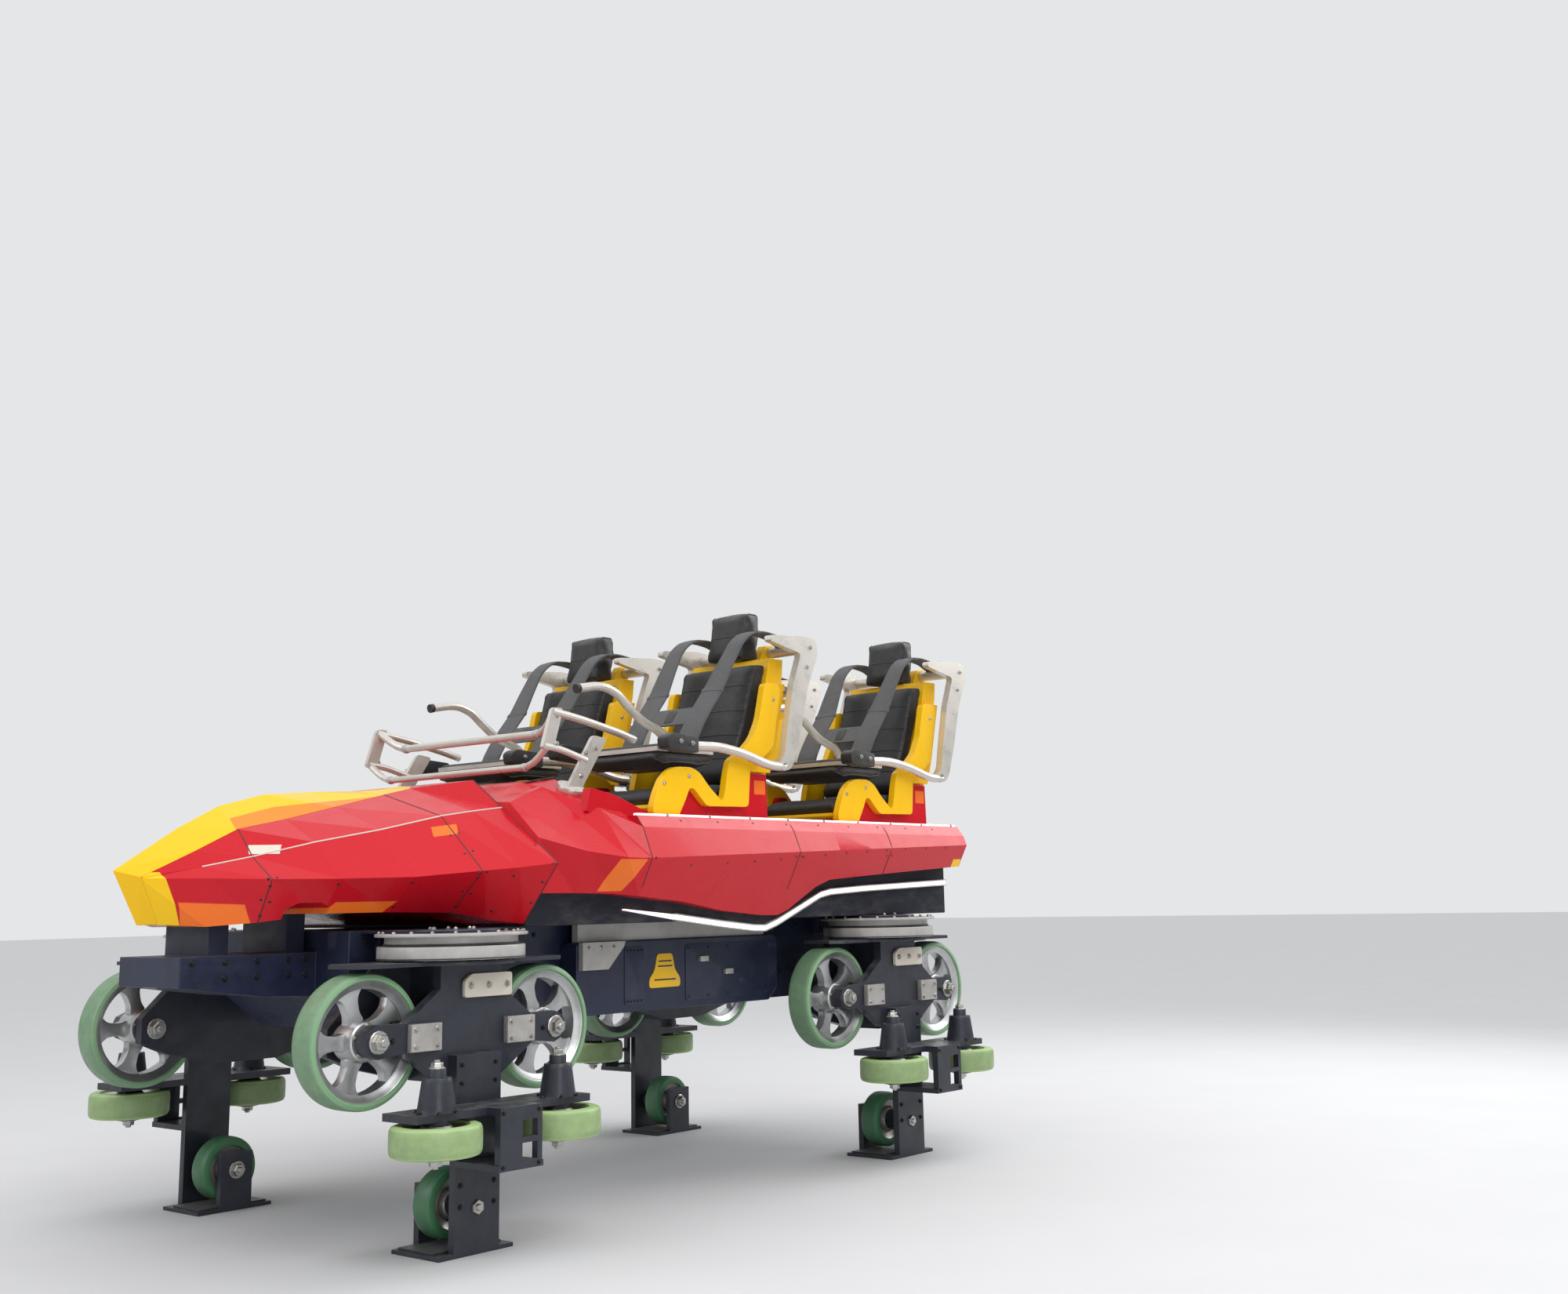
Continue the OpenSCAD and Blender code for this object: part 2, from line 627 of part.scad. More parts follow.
// Wheel carrier: top plate and pin, inner cheek, outer arms, post down past the
// rail with the side wheel arm, the windowed outer plate and the upstop fork
module carrier(end, side) {
    arm_out = side_axle_y - gauge / 2;
    cheek = [
        [-392, 150], [-392, 230], [-300, 320], [-210, yoke_top - 4], [210, yoke_top - 4],
        [300, 320], [392, 230], [392, 150], [300, 110], [120, 64], [-120, 64], [-300, 110]
    ];
    outer_arm = [
        [-388, 194], [-372, 160], [-338, 146], [-250, 156], [-120, 70], [120, 70],
        [250, 156], [338, 146], [372, 160], [388, 194], [372, 228], [338, 242], [240, 240],
        [118, 330], [118, yoke_top - 4], [-118, yoke_top - 4], [-118, 330], [-240, 240],
        [-338, 242], [-372, 228]
    ];
    color("darkslategray") at_carrier(end, side) {
        plate_z = yoke_top - yoke_t;
        difference() {
            translate([-400, -108, plate_z]) cube([800, 206, yoke_t]);
            for (x = [-400, 400]) for (y = [-108, 98]) translate([x, y, plate_z - 1])
                rotate([0, 0, 45]) cube([56, 56, 3 * yoke_t], center = true);
        }
        translate([0, 0, plate_z]) cylinder(h = yoke_t, r = ring_r - 30);
        translate([0, 0, plate_z]) cylinder(h = beam_top - 2 - plate_z, r = king_r);
        plate(cheek, -108, -72);
        plate(outer_arm, 62, 98);
        for (x = [-tandem / 2, tandem / 2]) translate([x, 0, road_d / 2]) {
            boss(0, 0, 0, 200, axle_r);
            boss(0, -60 - hub_gap / 2, 0, 28 - hub_gap, axle_r + 14);
            boss(0, 55 + hub_gap / 2, 0, 18 - hub_gap, axle_r + 14);
        }
        // Hollow centre box between the road wheels
        difference() {
            translate([-100, -72, 60]) cube([200, 134, plate_z - 60]);
            translate([-70, -50, 90]) cube([140, 90, 180]);
        }
        // Post beside the rail and the arm over the side wheels
        translate([-85, 98, foot_z]) translate([0, 14, 0]) cube([170, 26, 430 + 140]);
        translate([-85, 62, 70]) cube([170, 60, 70]);
        translate([-330, 112, -22]) cube([660, arm_out - 112 + 40, 22]);
        for (x = [-side_span / 2, side_span / 2]) translate([x, arm_out, 0]) {
            translate([0, 0, -1]) cylinder(h = 96, r1 = 56, r2 = 42);
            translate([0, 0, 90]) cylinder(h = 30, r = 26);
        }
        // Windowed outer plate between the side wheels, tied back under them
        difference() {
            translate([-80, arm_out + 76, -176]) cube([160, plate_t, 176]);
            for (z = [-88, -152]) translate([-62, arm_out + 60, z]) cube([58, 60, 48]);
        }
        translate([-80, arm_out - 10, -22]) cube([160, 86 + plate_t, 22]);
        translate([-85, 112, -176]) cube([170, arm_out - 36 + plate_t, 18]);
        for (x = [-side_span / 2, side_span / 2])
            translate([x, arm_out, side_h]) rotate([90, 0, 0]) {
                boss(0, 0, 0, 108, axle_r);
                boss(0, 46 + hub_gap / 2, 0, 16 - hub_gap, axle_r + 12);
                boss(0, -47 - hub_gap / 2, 0, 14 - hub_gap, axle_r + 12);
            }
        // Upstop wheel fork and skid
        translate([-140, -80, foot_z]) cube([280, 218, skid_h]);
        translate([-60, -80, foot_z]) cube([120, 24, 190]);
        translate([0, 0, -stop_drop - stop_d / 2]) {
            boss(0, 22.5, 0, 205, axle_r);
            boss(0, -49 - hub_gap / 2, 0, 22 - hub_gap, axle_r + 12);
            boss(0, 76 + hub_gap / 2, 0, 76 - hub_gap, axle_r + 12);
        }
    }
}

// Children placed at a restraint: origin on the pivot line at the seat centre
module at_pivot(row, side) {
    translate([st(row_s + row * row_pitch + pivot_s), side * seat_y, up(pivot_up)]) children();
}

// Flat upright beside the shoulder, then the arm tube beside the lap: forward, up
UPRIGHT = [
    [-36, 34], [-44, -26], [18, -150], [66, -320], [112, -452], [140, -486], [192, -492],
    [196, -456], [170, -430], [152, -331], [112, -158], [60, -30], [246, 2], [244, 24], [40, 40]
];
ARM = [[160, -474], [232, -474], [282, -466], [387, -440], [518, -420], [700, lap_up]];
// Central hand grip path: forward, up
GRIP = [
    [480, -432], [510, -352], [640, -312], [718, -259], [770, -218], [830, -199], [880, -199],
    [972, -216]
];

module restraint(row, side) {
    bar_s = ARM[5][0];
    upright_t = 30;
    color("gainsboro") at_pivot(row, side) {
        boss(0, 0, 0, 2 * arm_y, pivot_r);
        for (y = [-arm_y, arm_y]) {
            plate(soft(UPRIGHT, 18), y - upright_t / 2, y + upright_t / 2);
            tube([for (p = ARM) [p[0], y, p[1]]], tube_r, 70);
            plate(soft([[670, -450], [670, -398], [800, -388], [826, -404], [820, -440]], 16),
                y - 26, y + 26);
        }
        boss(bar_s, 0, lap_up, 2 * arm_y, 15);
        translate([470, -200, plate_up]) cube([300, 400, 16]);
        tube([for (p = GRIP) [p[0], 0, p[1]]], grip_r, 60);
    }
}

module lap_pad(row, side) {
    pad = [
        [440, plate_up - soft_gap], [775, plate_up - soft_gap], [796, -456], [790, -476],
        [740, -488], [520, -486], [452, -470]
    ];
    color("black") at_pivot(row, side) plate(pad, -205, 205);
}

// Side path of a vest strap from the pivot tube over the shoulder to the lap: forward, up
STRAP = [
    [-8, 27.4], [10, 27.4], [60, 48], [150, 58], [230, 46], [283, 5], [348, -95], [405, -190],
    [460, -255], [510, -320], [546, -380], [558, plate_up + 17.7]
];

// Two shoulder straps, joined by a thinner band across the waist
module vest(row, side) {
    strap_y = 155;
    strap_w = 80;
    strap_t = 10;
    waist = [STRAP[8], STRAP[9]];
    color("dimgray") at_pivot(row, side) {
        for (y = [-strap_y, strap_y])
            plate(ribbon(STRAP, strap_t), y - strap_w / 2, y + strap_w / 2);
        plate(ribbon(waist, strap_t - 3), -strap_y + 30, strap_y - 30);
    }
}

chassis_frame();
equipment_boxes();
side_brackets();
slewing_rings();
nose_shell();
nose_band();
side_panel(LEFT);  // side_panel_left
side_panel(RIGHT);  // side_panel_right
body_tub();
front_cowl();
light_strips();
seat_bases();
grab_rail();
seat_shells(0);  // seat_shells_front
seat_shells(1);  // seat_shells_rear
seat_pads(0);  // seat_pads_front
seat_pads(1);  // seat_pads_rear
drawbar();
carrier(FRONT, LEFT);  // carrier_front_left
carrier(FRONT, RIGHT);  // carrier_front_right
carrier(REAR, LEFT);  // carrier_rear_left
carrier(REAR, RIGHT);  // carrier_rear_right
road_wheel(FRONT, LEFT, LEAD);  // road_wheel_front_left_lead
road_wheel(FRONT, LEFT, TRAIL);  // road_wheel_front_left_trail
road_wheel(FRONT, RIGHT, LEAD);  // road_wheel_front_right_lead
road_wheel(FRONT, RIGHT, TRAIL);  // road_wheel_front_right_trail
road_wheel(REAR, LEFT, LEAD);  // road_wheel_rear_left_lead
road_wheel(REAR, LEFT, TRAIL);  // road_wheel_rear_left_trail
road_wheel(REAR, RIGHT, LEAD);  // road_wheel_rear_right_lead
road_wheel(REAR, RIGHT, TRAIL);  // road_wheel_rear_right_trail
side_wheel(FRONT, LEFT, LEAD);  // side_wheel_front_left_lead
side_wheel(FRONT, LEFT, TRAIL);  // side_wheel_front_left_trail
side_wheel(FRONT, RIGHT, LEAD);  // side_wheel_front_right_lead
side_wheel(FRONT, RIGHT, TRAIL);  // side_wheel_front_right_trail
side_wheel(REAR, LEFT, LEAD);  // side_wheel_rear_left_lead
side_wheel(REAR, LEFT, TRAIL);  // side_wheel_rear_left_trail
side_wheel(REAR, RIGHT, LEAD);  // side_wheel_rear_right_lead
side_wheel(REAR, RIGHT, TRAIL);  // side_wheel_rear_right_trail
stop_wheel(FRONT, LEFT);  // stop_wheel_front_left
stop_wheel(FRONT, RIGHT);  // stop_wheel_front_right
stop_wheel(REAR, LEFT);  // stop_wheel_rear_left
stop_wheel(REAR, RIGHT);  // stop_wheel_rear_right
restraint(0, LEFT);  // restraint_front_left
restraint(0, RIGHT);  // restraint_front_right
restraint(1, LEFT);  // restraint_rear_left
restraint(1, RIGHT);  // restraint_rear_right
lap_pad(0, LEFT);  // lap_pad_front_left
lap_pad(0, RIGHT);  // lap_pad_front_right
lap_pad(1, LEFT);  // lap_pad_rear_left
lap_pad(1, RIGHT);  // lap_pad_rear_right
vest(0, LEFT);  // vest_front_left
vest(0, RIGHT);  // vest_front_right
vest(1, LEFT);  // vest_rear_left
vest(1, RIGHT);  // vest_rear_right
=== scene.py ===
"""Looks of a roller coaster car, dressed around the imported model."""

import json
import logging
import math
import random
from dataclasses import dataclass, field, replace
from enum import Enum
from typing import Iterable, Sequence

import bmesh
import bpy
from mathutils import Matrix, Quaternion, Vector
from mathutils.bvhtree import BVHTree

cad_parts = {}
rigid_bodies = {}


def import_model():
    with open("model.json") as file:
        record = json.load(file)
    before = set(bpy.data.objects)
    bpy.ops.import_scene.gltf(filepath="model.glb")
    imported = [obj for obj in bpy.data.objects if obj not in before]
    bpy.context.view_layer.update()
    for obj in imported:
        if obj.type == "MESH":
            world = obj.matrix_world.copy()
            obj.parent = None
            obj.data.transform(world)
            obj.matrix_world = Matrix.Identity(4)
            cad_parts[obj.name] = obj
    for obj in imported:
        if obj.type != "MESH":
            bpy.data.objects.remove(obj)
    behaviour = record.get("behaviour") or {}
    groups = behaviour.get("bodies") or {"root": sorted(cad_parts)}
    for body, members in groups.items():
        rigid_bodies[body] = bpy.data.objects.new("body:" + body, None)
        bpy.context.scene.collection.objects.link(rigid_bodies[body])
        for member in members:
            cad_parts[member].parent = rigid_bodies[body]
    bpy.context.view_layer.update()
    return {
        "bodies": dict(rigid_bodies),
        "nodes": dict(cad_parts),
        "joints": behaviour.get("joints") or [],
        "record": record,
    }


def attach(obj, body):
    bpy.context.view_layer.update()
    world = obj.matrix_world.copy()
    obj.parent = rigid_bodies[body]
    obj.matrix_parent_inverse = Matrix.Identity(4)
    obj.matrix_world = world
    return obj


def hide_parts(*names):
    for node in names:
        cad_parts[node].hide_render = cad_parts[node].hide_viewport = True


LOG = logging.getLogger("car")
Colour = tuple[float, float, float]
Point = tuple[float, float, float]
Flat = tuple[float, float]
MM = 0.001
WELD_GAP = 0.02 * MM
SOFT_EDGE = math.radians(28)
PATCH_BLUR = 0.4 * MM


class Named(Enum):
    """Choice whose name is a word in the names of nodes."""

    @property
    def word(self) -> str:
        """Name used in node names."""
        return self.name.lower()


class Side(Named):
    """Side of the car, as the sign of y."""

    LEFT = 1
    RIGHT = -1


class End(Named):
    """End of the car that a wheel carrier or a seat row belongs to."""

    FRONT = 0
    REAR = 1


class Tree:
    """Short calls that build one material's node tree."""

    def __init__(self, name: str) -> None:
        """Start a material with an empty principled shader."""
        self.mat = bpy.data.materials.new(name)
        self.mat.use_nodes = True
        self.nodes = self.mat.node_tree.nodes
        self.shader = self.nodes["Principled BSDF"]
        self._place = self.add("ShaderNodeTexCoord").outputs["Object"]

    def add(self, kind: str, **settings: object) -> bpy.types.Node:
        """Add a node and set its own properties."""
        node = self.nodes.new(kind)
        for key, value in settings.items():
            setattr(node, key, value)
        return node

    def join(self, source: object, target: bpy.types.NodeSocket) -> None:
        """Link a socket, or set a plain value, into a target socket."""
        if isinstance(source, bpy.types.NodeSocket):
            self.mat.node_tree.links.new(source, target)
        elif isinstance(source, tuple) and len(source) == 3 and target.type == "RGBA":
            target.default_value = (*source, 1.0)
        else:
            target.default_value = source

    def set(self, **inputs: object) -> None:
        """Set inputs of the shader, with underscores for the spaces in their names."""
        for key, value in inputs.items():
            self.join(value, self.shader.inputs[key.replace("_", " ")])

    def math(self, how: str, a: object, b: object = 0.0) -> bpy.types.NodeSocket:
        """Add one step of arithmetic and return its result."""
        node = self.add("ShaderNodeMath", operation=how)
        self.join(a, node.inputs[0])
        self.join(b, node.inputs[1])
        return node.outputs[0]

    def times(self, a: object, b: object) -> bpy.types.NodeSocket:
        """Multiply two values."""
        return self.math("MULTIPLY", a, b)

    def noise(self, scale: float, detail: float = 3.0, rough: float = 0.5,
              stretch: Point = (1, 1, 1)) -> bpy.types.NodeSocket:
        """Return noise over the object's own coordinates.

        Args:
            scale: Cells a metre.
            detail: Number of finer layers.
            rough: Weight of the finer layers.
            stretch: Factor along each axis before the noise is read.

        Returns:
            Socket with the noise, about 0 to 1.
        """
        mapping = self.add("ShaderNodeMapping")
        self.join(self._place, mapping.inputs["Vector"])
        mapping.inputs["Scale"].default_value = stretch
        node = self.add("ShaderNodeTexNoise")
        self.join(mapping.outputs[0], node.inputs["Vector"])
        for key, value in (("Scale", scale), ("Detail", detail), ("Roughness", rough)):
            node.inputs[key].default_value = value
        return node.outputs["Fac"]

    def cells(self, scale: float) -> bpy.types.NodeSocket:
        """Return distance to the nearest of scattered cell centres."""
        node = self.add("ShaderNodeTexVoronoi")
        self.join(self._place, node.inputs["Vector"])
        node.inputs["Scale"].default_value = scale
        return node.outputs["Distance"]

    def span(self, value: object, low: float, high: float, out_low: float = 0.0,
             out_high: float = 1.0) -> bpy.types.NodeSocket:
        """Map a value from one range to another, clamped."""
        node = self.add("ShaderNodeMapRange")
        self.join(value, node.inputs["Value"])
        for key, number in (("From Min", low), ("From Max", high),
                            ("To Min", out_low), ("To Max", out_high)):
            node.inputs[key].default_value = number
        return node.outputs["Result"]

    def mix(self, share: object, a: object, b: object) -> bpy.types.NodeSocket:
        """Mix two colours by a share."""
        node = self.add("ShaderNodeMix", data_type="RGBA")
        self.join(share, node.inputs["Factor"])
        self.join(a, node.inputs["A"])
        self.join(b, node.inputs["B"])
        return node.outputs["Result"]

    def axis(self, which: str) -> bpy.types.NodeSocket:
        """Return one of the object coordinates X, Y or Z."""
        node = self.add("ShaderNodeSeparateXYZ")
        self.join(self._place, node.inputs[0])
        return node.outputs[which]

    def attribute(self, name: str, part: str = "Fac") -> bpy.types.NodeSocket:
        """Read an attribute of the mesh."""
        return self.add("ShaderNodeAttribute", attribute_name=name).outputs[part]

    def facing_up(self) -> bpy.types.NodeSocket:
        """Return how far the surface faces upward, from 0 to 1."""
        node = self.add("ShaderNodeSeparateXYZ")
        self.join(self.add("ShaderNodeNewGeometry").outputs["Normal"], node.inputs[0])
        return self.span(node.outputs["Z"], 0.2, 1.0)

    def region(self, corners: Sequence[Flat]) -> bpy.types.NodeSocket:
        """Mask of a convex patch seen from the side.

        Args:
            corners: Its corners as (x, z) in metres, anticlockwise with x to the right.

        Returns:
            Socket with 1 inside the patch and 0 outside.
        """
        x, z, inside = self.axis("X"), self.axis("Z"), None
        for (ax, az), (bx, bz) in zip(corners, (*corners[1:], corners[0])):
            run, rise = bx - ax, bz - az
            size = math.hypot(run, rise)
            left = self.math("ADD", self.times(x, -rise / size), self.times(z, run / size))
            at = (run * az - rise * ax) / size
            edge = self.span(left, at - PATCH_BLUR, at + PATCH_BLUR)
            inside = edge if inside is None else self.times(inside, edge)
        return inside

    def relief(self, height: bpy.types.NodeSocket, depth: float, strength: float = 1.0,
               under: bpy.types.NodeSocket | None = None) -> bpy.types.NodeSocket:
        """Turn a height into a bumped normal, over another one if given."""
        node = self.add("ShaderNodeBump")
        node.inputs["Distance"].default_value = depth
        node.inputs["Strength"].default_value = strength
        self.join(height, node.inputs["Height"])
        if under is not None:
            self.join(under, node.inputs["Normal"])
        return node.outputs[0]


def toned(tint: Colour, factor: float, lift: float = 0.0) -> Colour:
    """Return a colour made darker or lighter."""
    return tuple(min(1.0, factor * c + lift) for c in tint)


@dataclass(frozen=True)
class Patch:
    """Plain patch of another colour in a paint; some patches are painted shade or a painted
    highlight.

    Attributes:
        tint: Its colour.
        corners: Its corners from the side as (x, z), anticlockwise with x to the right.
    """

    tint: Colour
    corners: tuple[Flat, ...]


@dataclass(frozen=True)
class Paint:
    """Glossy vehicle paint with orange peel, dust and fine wear."""

    name: str
    tint: Colour
    gloss: float = 0.24
    coat: float = 0.14
    dust: float = 0.03
    patches: tuple[Patch, ...] = ()

    def make(self) -> bpy.types.Material:
        """Build the material."""
        t = Tree(self.name)
        tone = t.span(t.noise(3.0), 0.3, 0.7, 0.90, 1.04)
        base: object = self.tint
        for patch in self.patches:
            base = t.mix(t.region(patch.corners), base, patch.tint)
        shade = t.add("ShaderNodeMix", data_type="RGBA", blend_type="MULTIPLY")
        shade.inputs["Factor"].default_value = 1.0
        t.join(base, shade.inputs["A"])
        t.join(t.mix(tone, (0.80, 0.80, 0.80), (1.0, 1.0, 1.0)), shade.inputs["B"])
        grime = t.times(t.span(t.noise(9.0, 6.0, 0.6, (1, 1, 2.5)), 0.45, 0.75),
                        t.span(t.axis("Z"), 1.15, 0.55))
        specks = t.math("LESS_THAN", t.cells(55.0), 0.055)
        chips = t.times(specks, t.span(t.noise(6.0), 0.52, 0.6))
        colour = t.mix(t.times(grime, self.dust), shade.outputs["Result"], (0.36, 0.33, 0.30))
        colour = t.mix(t.times(chips, 0.35), colour, (0.12, 0.11, 0.11))
        peel = t.relief(t.noise(260.0, 2.0), 0.00035, 0.35)
        t.set(Base_Color=colour, Roughness=t.span(t.noise(14.0, 5.0), 0.3, 0.8,
                                                  self.gloss - 0.06, self.gloss + 0.12),
              Coat_Weight=self.coat, Coat_Roughness=t.span(t.noise(22.0), 0.4, 0.9, 0.04, 0.12),
              Specular_IOR_Level=0.2, Normal=peel)
        return t.mat


@dataclass(frozen=True)
class Steel:
    """Powder coated or bare steel with grease, rust dust and rubbed spots."""

    name: str
    tint: Colour
    rough: float = 0.42
    metallic: float = 0.0
    grease: float = 0.5
    coat: float = 0.15
    rub: float = 0.35

    def make(self) -> bpy.types.Material:
        """Build the material."""
        t = Tree(self.name)
        stain = t.span(t.noise(11.0, 6.0, 0.65), 0.45, 0.72)
        dust = t.times(t.facing_up(), t.span(t.noise(24.0, 5.0), 0.35, 0.7))
        colour = t.mix(t.times(stain, self.grease), self.tint, toned(self.tint, 0.35))
        colour = t.mix(t.times(dust, 0.22), colour, (0.42, 0.38, 0.34))
        rubbed = t.times(t.span(t.noise(60.0, 4.0, 0.7, (1, 1, 6)), 0.63, 0.70), self.rub)
        colour = t.mix(rubbed, colour, toned(self.tint, 1.5, 0.08))
        grain = t.relief(t.noise(420.0, 3.0), 0.0003, 0.5)
        t.set(Base_Color=colour, Metallic=self.metallic, Coat_Weight=self.coat,
              Roughness=t.span(t.noise(17.0, 5.0), 0.25, 0.8, self.rough - 0.1, self.rough + 0.18),
              Normal=grain)
        return t.mat


@dataclass(frozen=True)
class Polyurethane:
    """Cast wheel tyre: waxy, with a darker running band and dust on its flanks."""

    name: str
    tint: Colour

    def make(self) -> bpy.types.Material:
        """Build the material."""
        t = Tree(self.name)
        tread = t.attribute("tread")
        marks = t.times(tread, t.span(t.noise(30.0, 5.0, 0.7), 0.3, 0.75, 0.35, 0.8))
        colour = t.mix(marks, self.tint, toned(self.tint, 0.42, 0.03))
        colour = t.mix(t.span(t.noise(8.0, 4.0), 0.5, 0.8, 0.0, 0.35), colour,
                       toned(self.tint, 1.25))
        fine = t.relief(t.noise(170.0, 4.0), 0.0006, 0.4)
        t.set(Base_Color=colour, Roughness=t.span(t.noise(20.0), 0.3, 0.7, 0.34, 0.55),
              Subsurface_Weight=0.12, Subsurface_Scale=0.01, Normal=fine)
        return t.mat


@dataclass(frozen=True)
class Vinyl:
    """Grained vinyl over foam, or moulded rubber where the grain is coarse."""

    name: str
    tint: Colour
    grain: float = 430.0
    rough: float = 0.46

    def make(self) -> bpy.types.Material:
        """Build the material."""
        t = Tree(self.name)
        worn = t.span(t.noise(7.0, 5.0, 0.6), 0.5, 0.8, 0.0, 0.5)
        colour = t.mix(worn, self.tint, toned(self.tint, 1.7, 0.012))
        colour = t.mix(t.times(t.facing_up(), 0.10), colour, (0.30, 0.29, 0.28))
        pores = t.relief(t.cells(self.grain), 0.0008, 0.55)
        creases = t.relief(t.noise(34.0, 5.0, 0.6), 0.0016, 0.5, pores)
        t.set(Base_Color=colour, Roughness=t.span(t.noise(40.0), 0.3, 0.7, self.rough - 0.08,
                                                  self.rough + 0.12),
              Sheen_Weight=0.08, Normal=creases)
        return t.mat


@dataclass(frozen=True)
class Webbing:
    """Woven cloth whose threads follow the piece's own weave attribute."""

    name: str
    tint: Colour
    pitch: float = 2.4 * MM

    def make(self) -> bpy.types.Material:
        """Build the material."""
        t = Tree(self.name)
        parts = t.add("ShaderNodeSeparateXYZ")
        t.join(t.attribute("weave", "Vector"), parts.inputs[0])
        turn = 2 * math.pi / self.pitch
        along = t.math("SINE", t.times(parts.outputs["X"], turn))
        across = t.math("SINE", t.times(parts.outputs["Y"], turn * 1.5))
        threads = t.times(along, across)
        dark = toned(self.tint, 0.62)
        colour = t.mix(t.span(threads, -0.6, 0.8), dark, self.tint)
        colour = t.mix(t.span(t.noise(16.0, 5.0), 0.42, 0.75, 0.0, 0.35), colour, dark)
        t.set(Base_Color=colour, Roughness=0.86, Sheen_Weight=0.25,
              Normal=t.relief(threads, 0.0005, 0.8))
        return t.mat


@dataclass(frozen=True)
class Lamp:
    """Lit diffuser over a row of small lamps."""

    name: str
    tint: Colour
    power: float = 0.95
    pitch: float = 17 * MM

    def make(self) -> bpy.types.Material:
        """Build the material."""
        t = Tree(self.name)
        wave = t.math("SINE", t.times(t.axis("X"), 2 * math.pi / self.pitch))
        glow = t.times(t.span(wave, -1.0, 1.0, 0.75, 1.1),
                       t.span(t.noise(5.0), 0.3, 0.7, 0.85 * self.power, self.power))
        t.set(Base_Color=(0.85, 0.82, 0.82), Roughness=0.35, Emission_Color=self.tint,
              Emission_Strength=glow, Coat_Weight=0.4)
        return t.mat


Finish = Paint | Steel | Polyurethane | Vinyl | Webbing | Lamp


@dataclass
class Shape:
    """Points and faces of a raw mesh, with optional values per point.

    Attributes:
        points: Positions in metres.
        faces: Point numbers of each face.
        tread: Running-band value per point, for a tyre.
        weave: Thread coordinates per point, for cloth.
    """

    points: list[Vector] = field(default_factory=list)
    faces: list[tuple[int, ...]] = field(default_factory=list)
    tread: list[float] = field(default_factory=list)
    weave: list[Vector] = field(default_factory=list)

    def moved(self, matrix: Matrix) -> "Shape":
        """Return the shape in another place, with its faces kept outward."""
        faces = [f[::-1] for f in self.faces] if matrix.determinant() < 0 else list(self.faces)
        return Shape([matrix @ p for p in self.points], faces, list(self.tread), list(self.weave))

    def at(self, x: float, y: float, z: float) -> "Shape":
        """Return the shape shifted."""
        return self.moved(Matrix.Translation((x, y, z)))


def union(shapes: Iterable[Shape]) -> Shape:
    """Gather several shapes into one mesh."""
    out = Shape()
    for shape in shapes:
        start = len(out.points)
        out.points += shape.points
        out.faces += [tuple(i + start for i in f) for f in shape.faces]
        out.tread += shape.tread or [0.0] * len(shape.points)
        out.weave += shape.weave or [Vector((0, 0, 0))] * len(shape.points)
    return out


def skin(rings: Sequence[Sequence[Vector]], closed: bool = False, caps: bool = True) -> Shape:
    """Join rings of equal length by quads.

    Args:
        rings: Rings of points, each one closed.
        closed: Whether the last ring joins the first.
        caps: Whether the end rings are filled.

    Returns:
        The joined rings.
    """
    n, count = len(rings[0]), len(rings)
    shape = Shape([p for ring in rings for p in ring])
    for i in range(count if closed else count - 1):
        for j in range(n):
            a, b = i * n + j, i * n + (j + 1) % n
            c, d = (a + n) % (n * count), (b + n) % (n * count)
            shape.faces.append((a, b, d, c))
    if caps and not closed:
        shape.faces.append(tuple(range(n - 1, -1, -1)))
        shape.faces.append(tuple((count - 1) * n + j for j in range(n)))
    return shape


def lathe(profile: Sequence[Flat], steps: int = 64, band: float | None = None) -> Shape:
    """Turn a closed profile of (radius, height) about z.

    Args:
        profile: Closed outline, anticlockwise with the radius to the right.
        steps: Number of steps round.
        band: Radius from which a point belongs to the running band.

    Returns:
        The turned shape, with its running band if one is asked for.
    """
    rings = [[Vector((r * math.cos(a), r * math.sin(a), z)) for r, z in profile]
             for a in (2 * math.pi * i / steps for i in range(steps))]
    shape = skin(rings, closed=True)
    shape.faces = [f[::-1] for f in shape.faces]
    if band is not None:
        shape.tread = [1.0 if r >= band else 0.0 for _ in range(steps) for r, _ in profile]
    return shape


def rounded(corners: Sequence[Sequence[float]], radius: float, steps: int = 4,
            closed: bool = False) -> list[Vector]:
    """Replace corners of a path by soft bends.

    Args:
        corners: Corner points, flat or in space.
        radius: Length cut from each leg beside a corner.
        steps: Points in each bend.
        closed: Whether the path is a closed outline.

    Returns:
        Points of the softened path.
    """
    pts = [Vector(c) for c in corners]
    n, out = len(pts), []
    for i, b in enumerate(pts):
        if not closed and i in (0, n - 1):
            out.append(b)
            continue
        a, c = pts[i - 1], pts[(i + 1) % n]
        back, on = a - b, c - b
        cut = min(radius, back.length * 0.45, on.length * 0.45)
        p, q = b + back.normalized() * cut, b + on.normalized() * cut
        for k in range(steps + 1):
            w = k / steps
            out.append(p * (1 - w) ** 2 + 2 * b * w * (1 - w) + q * w * w)
    return out


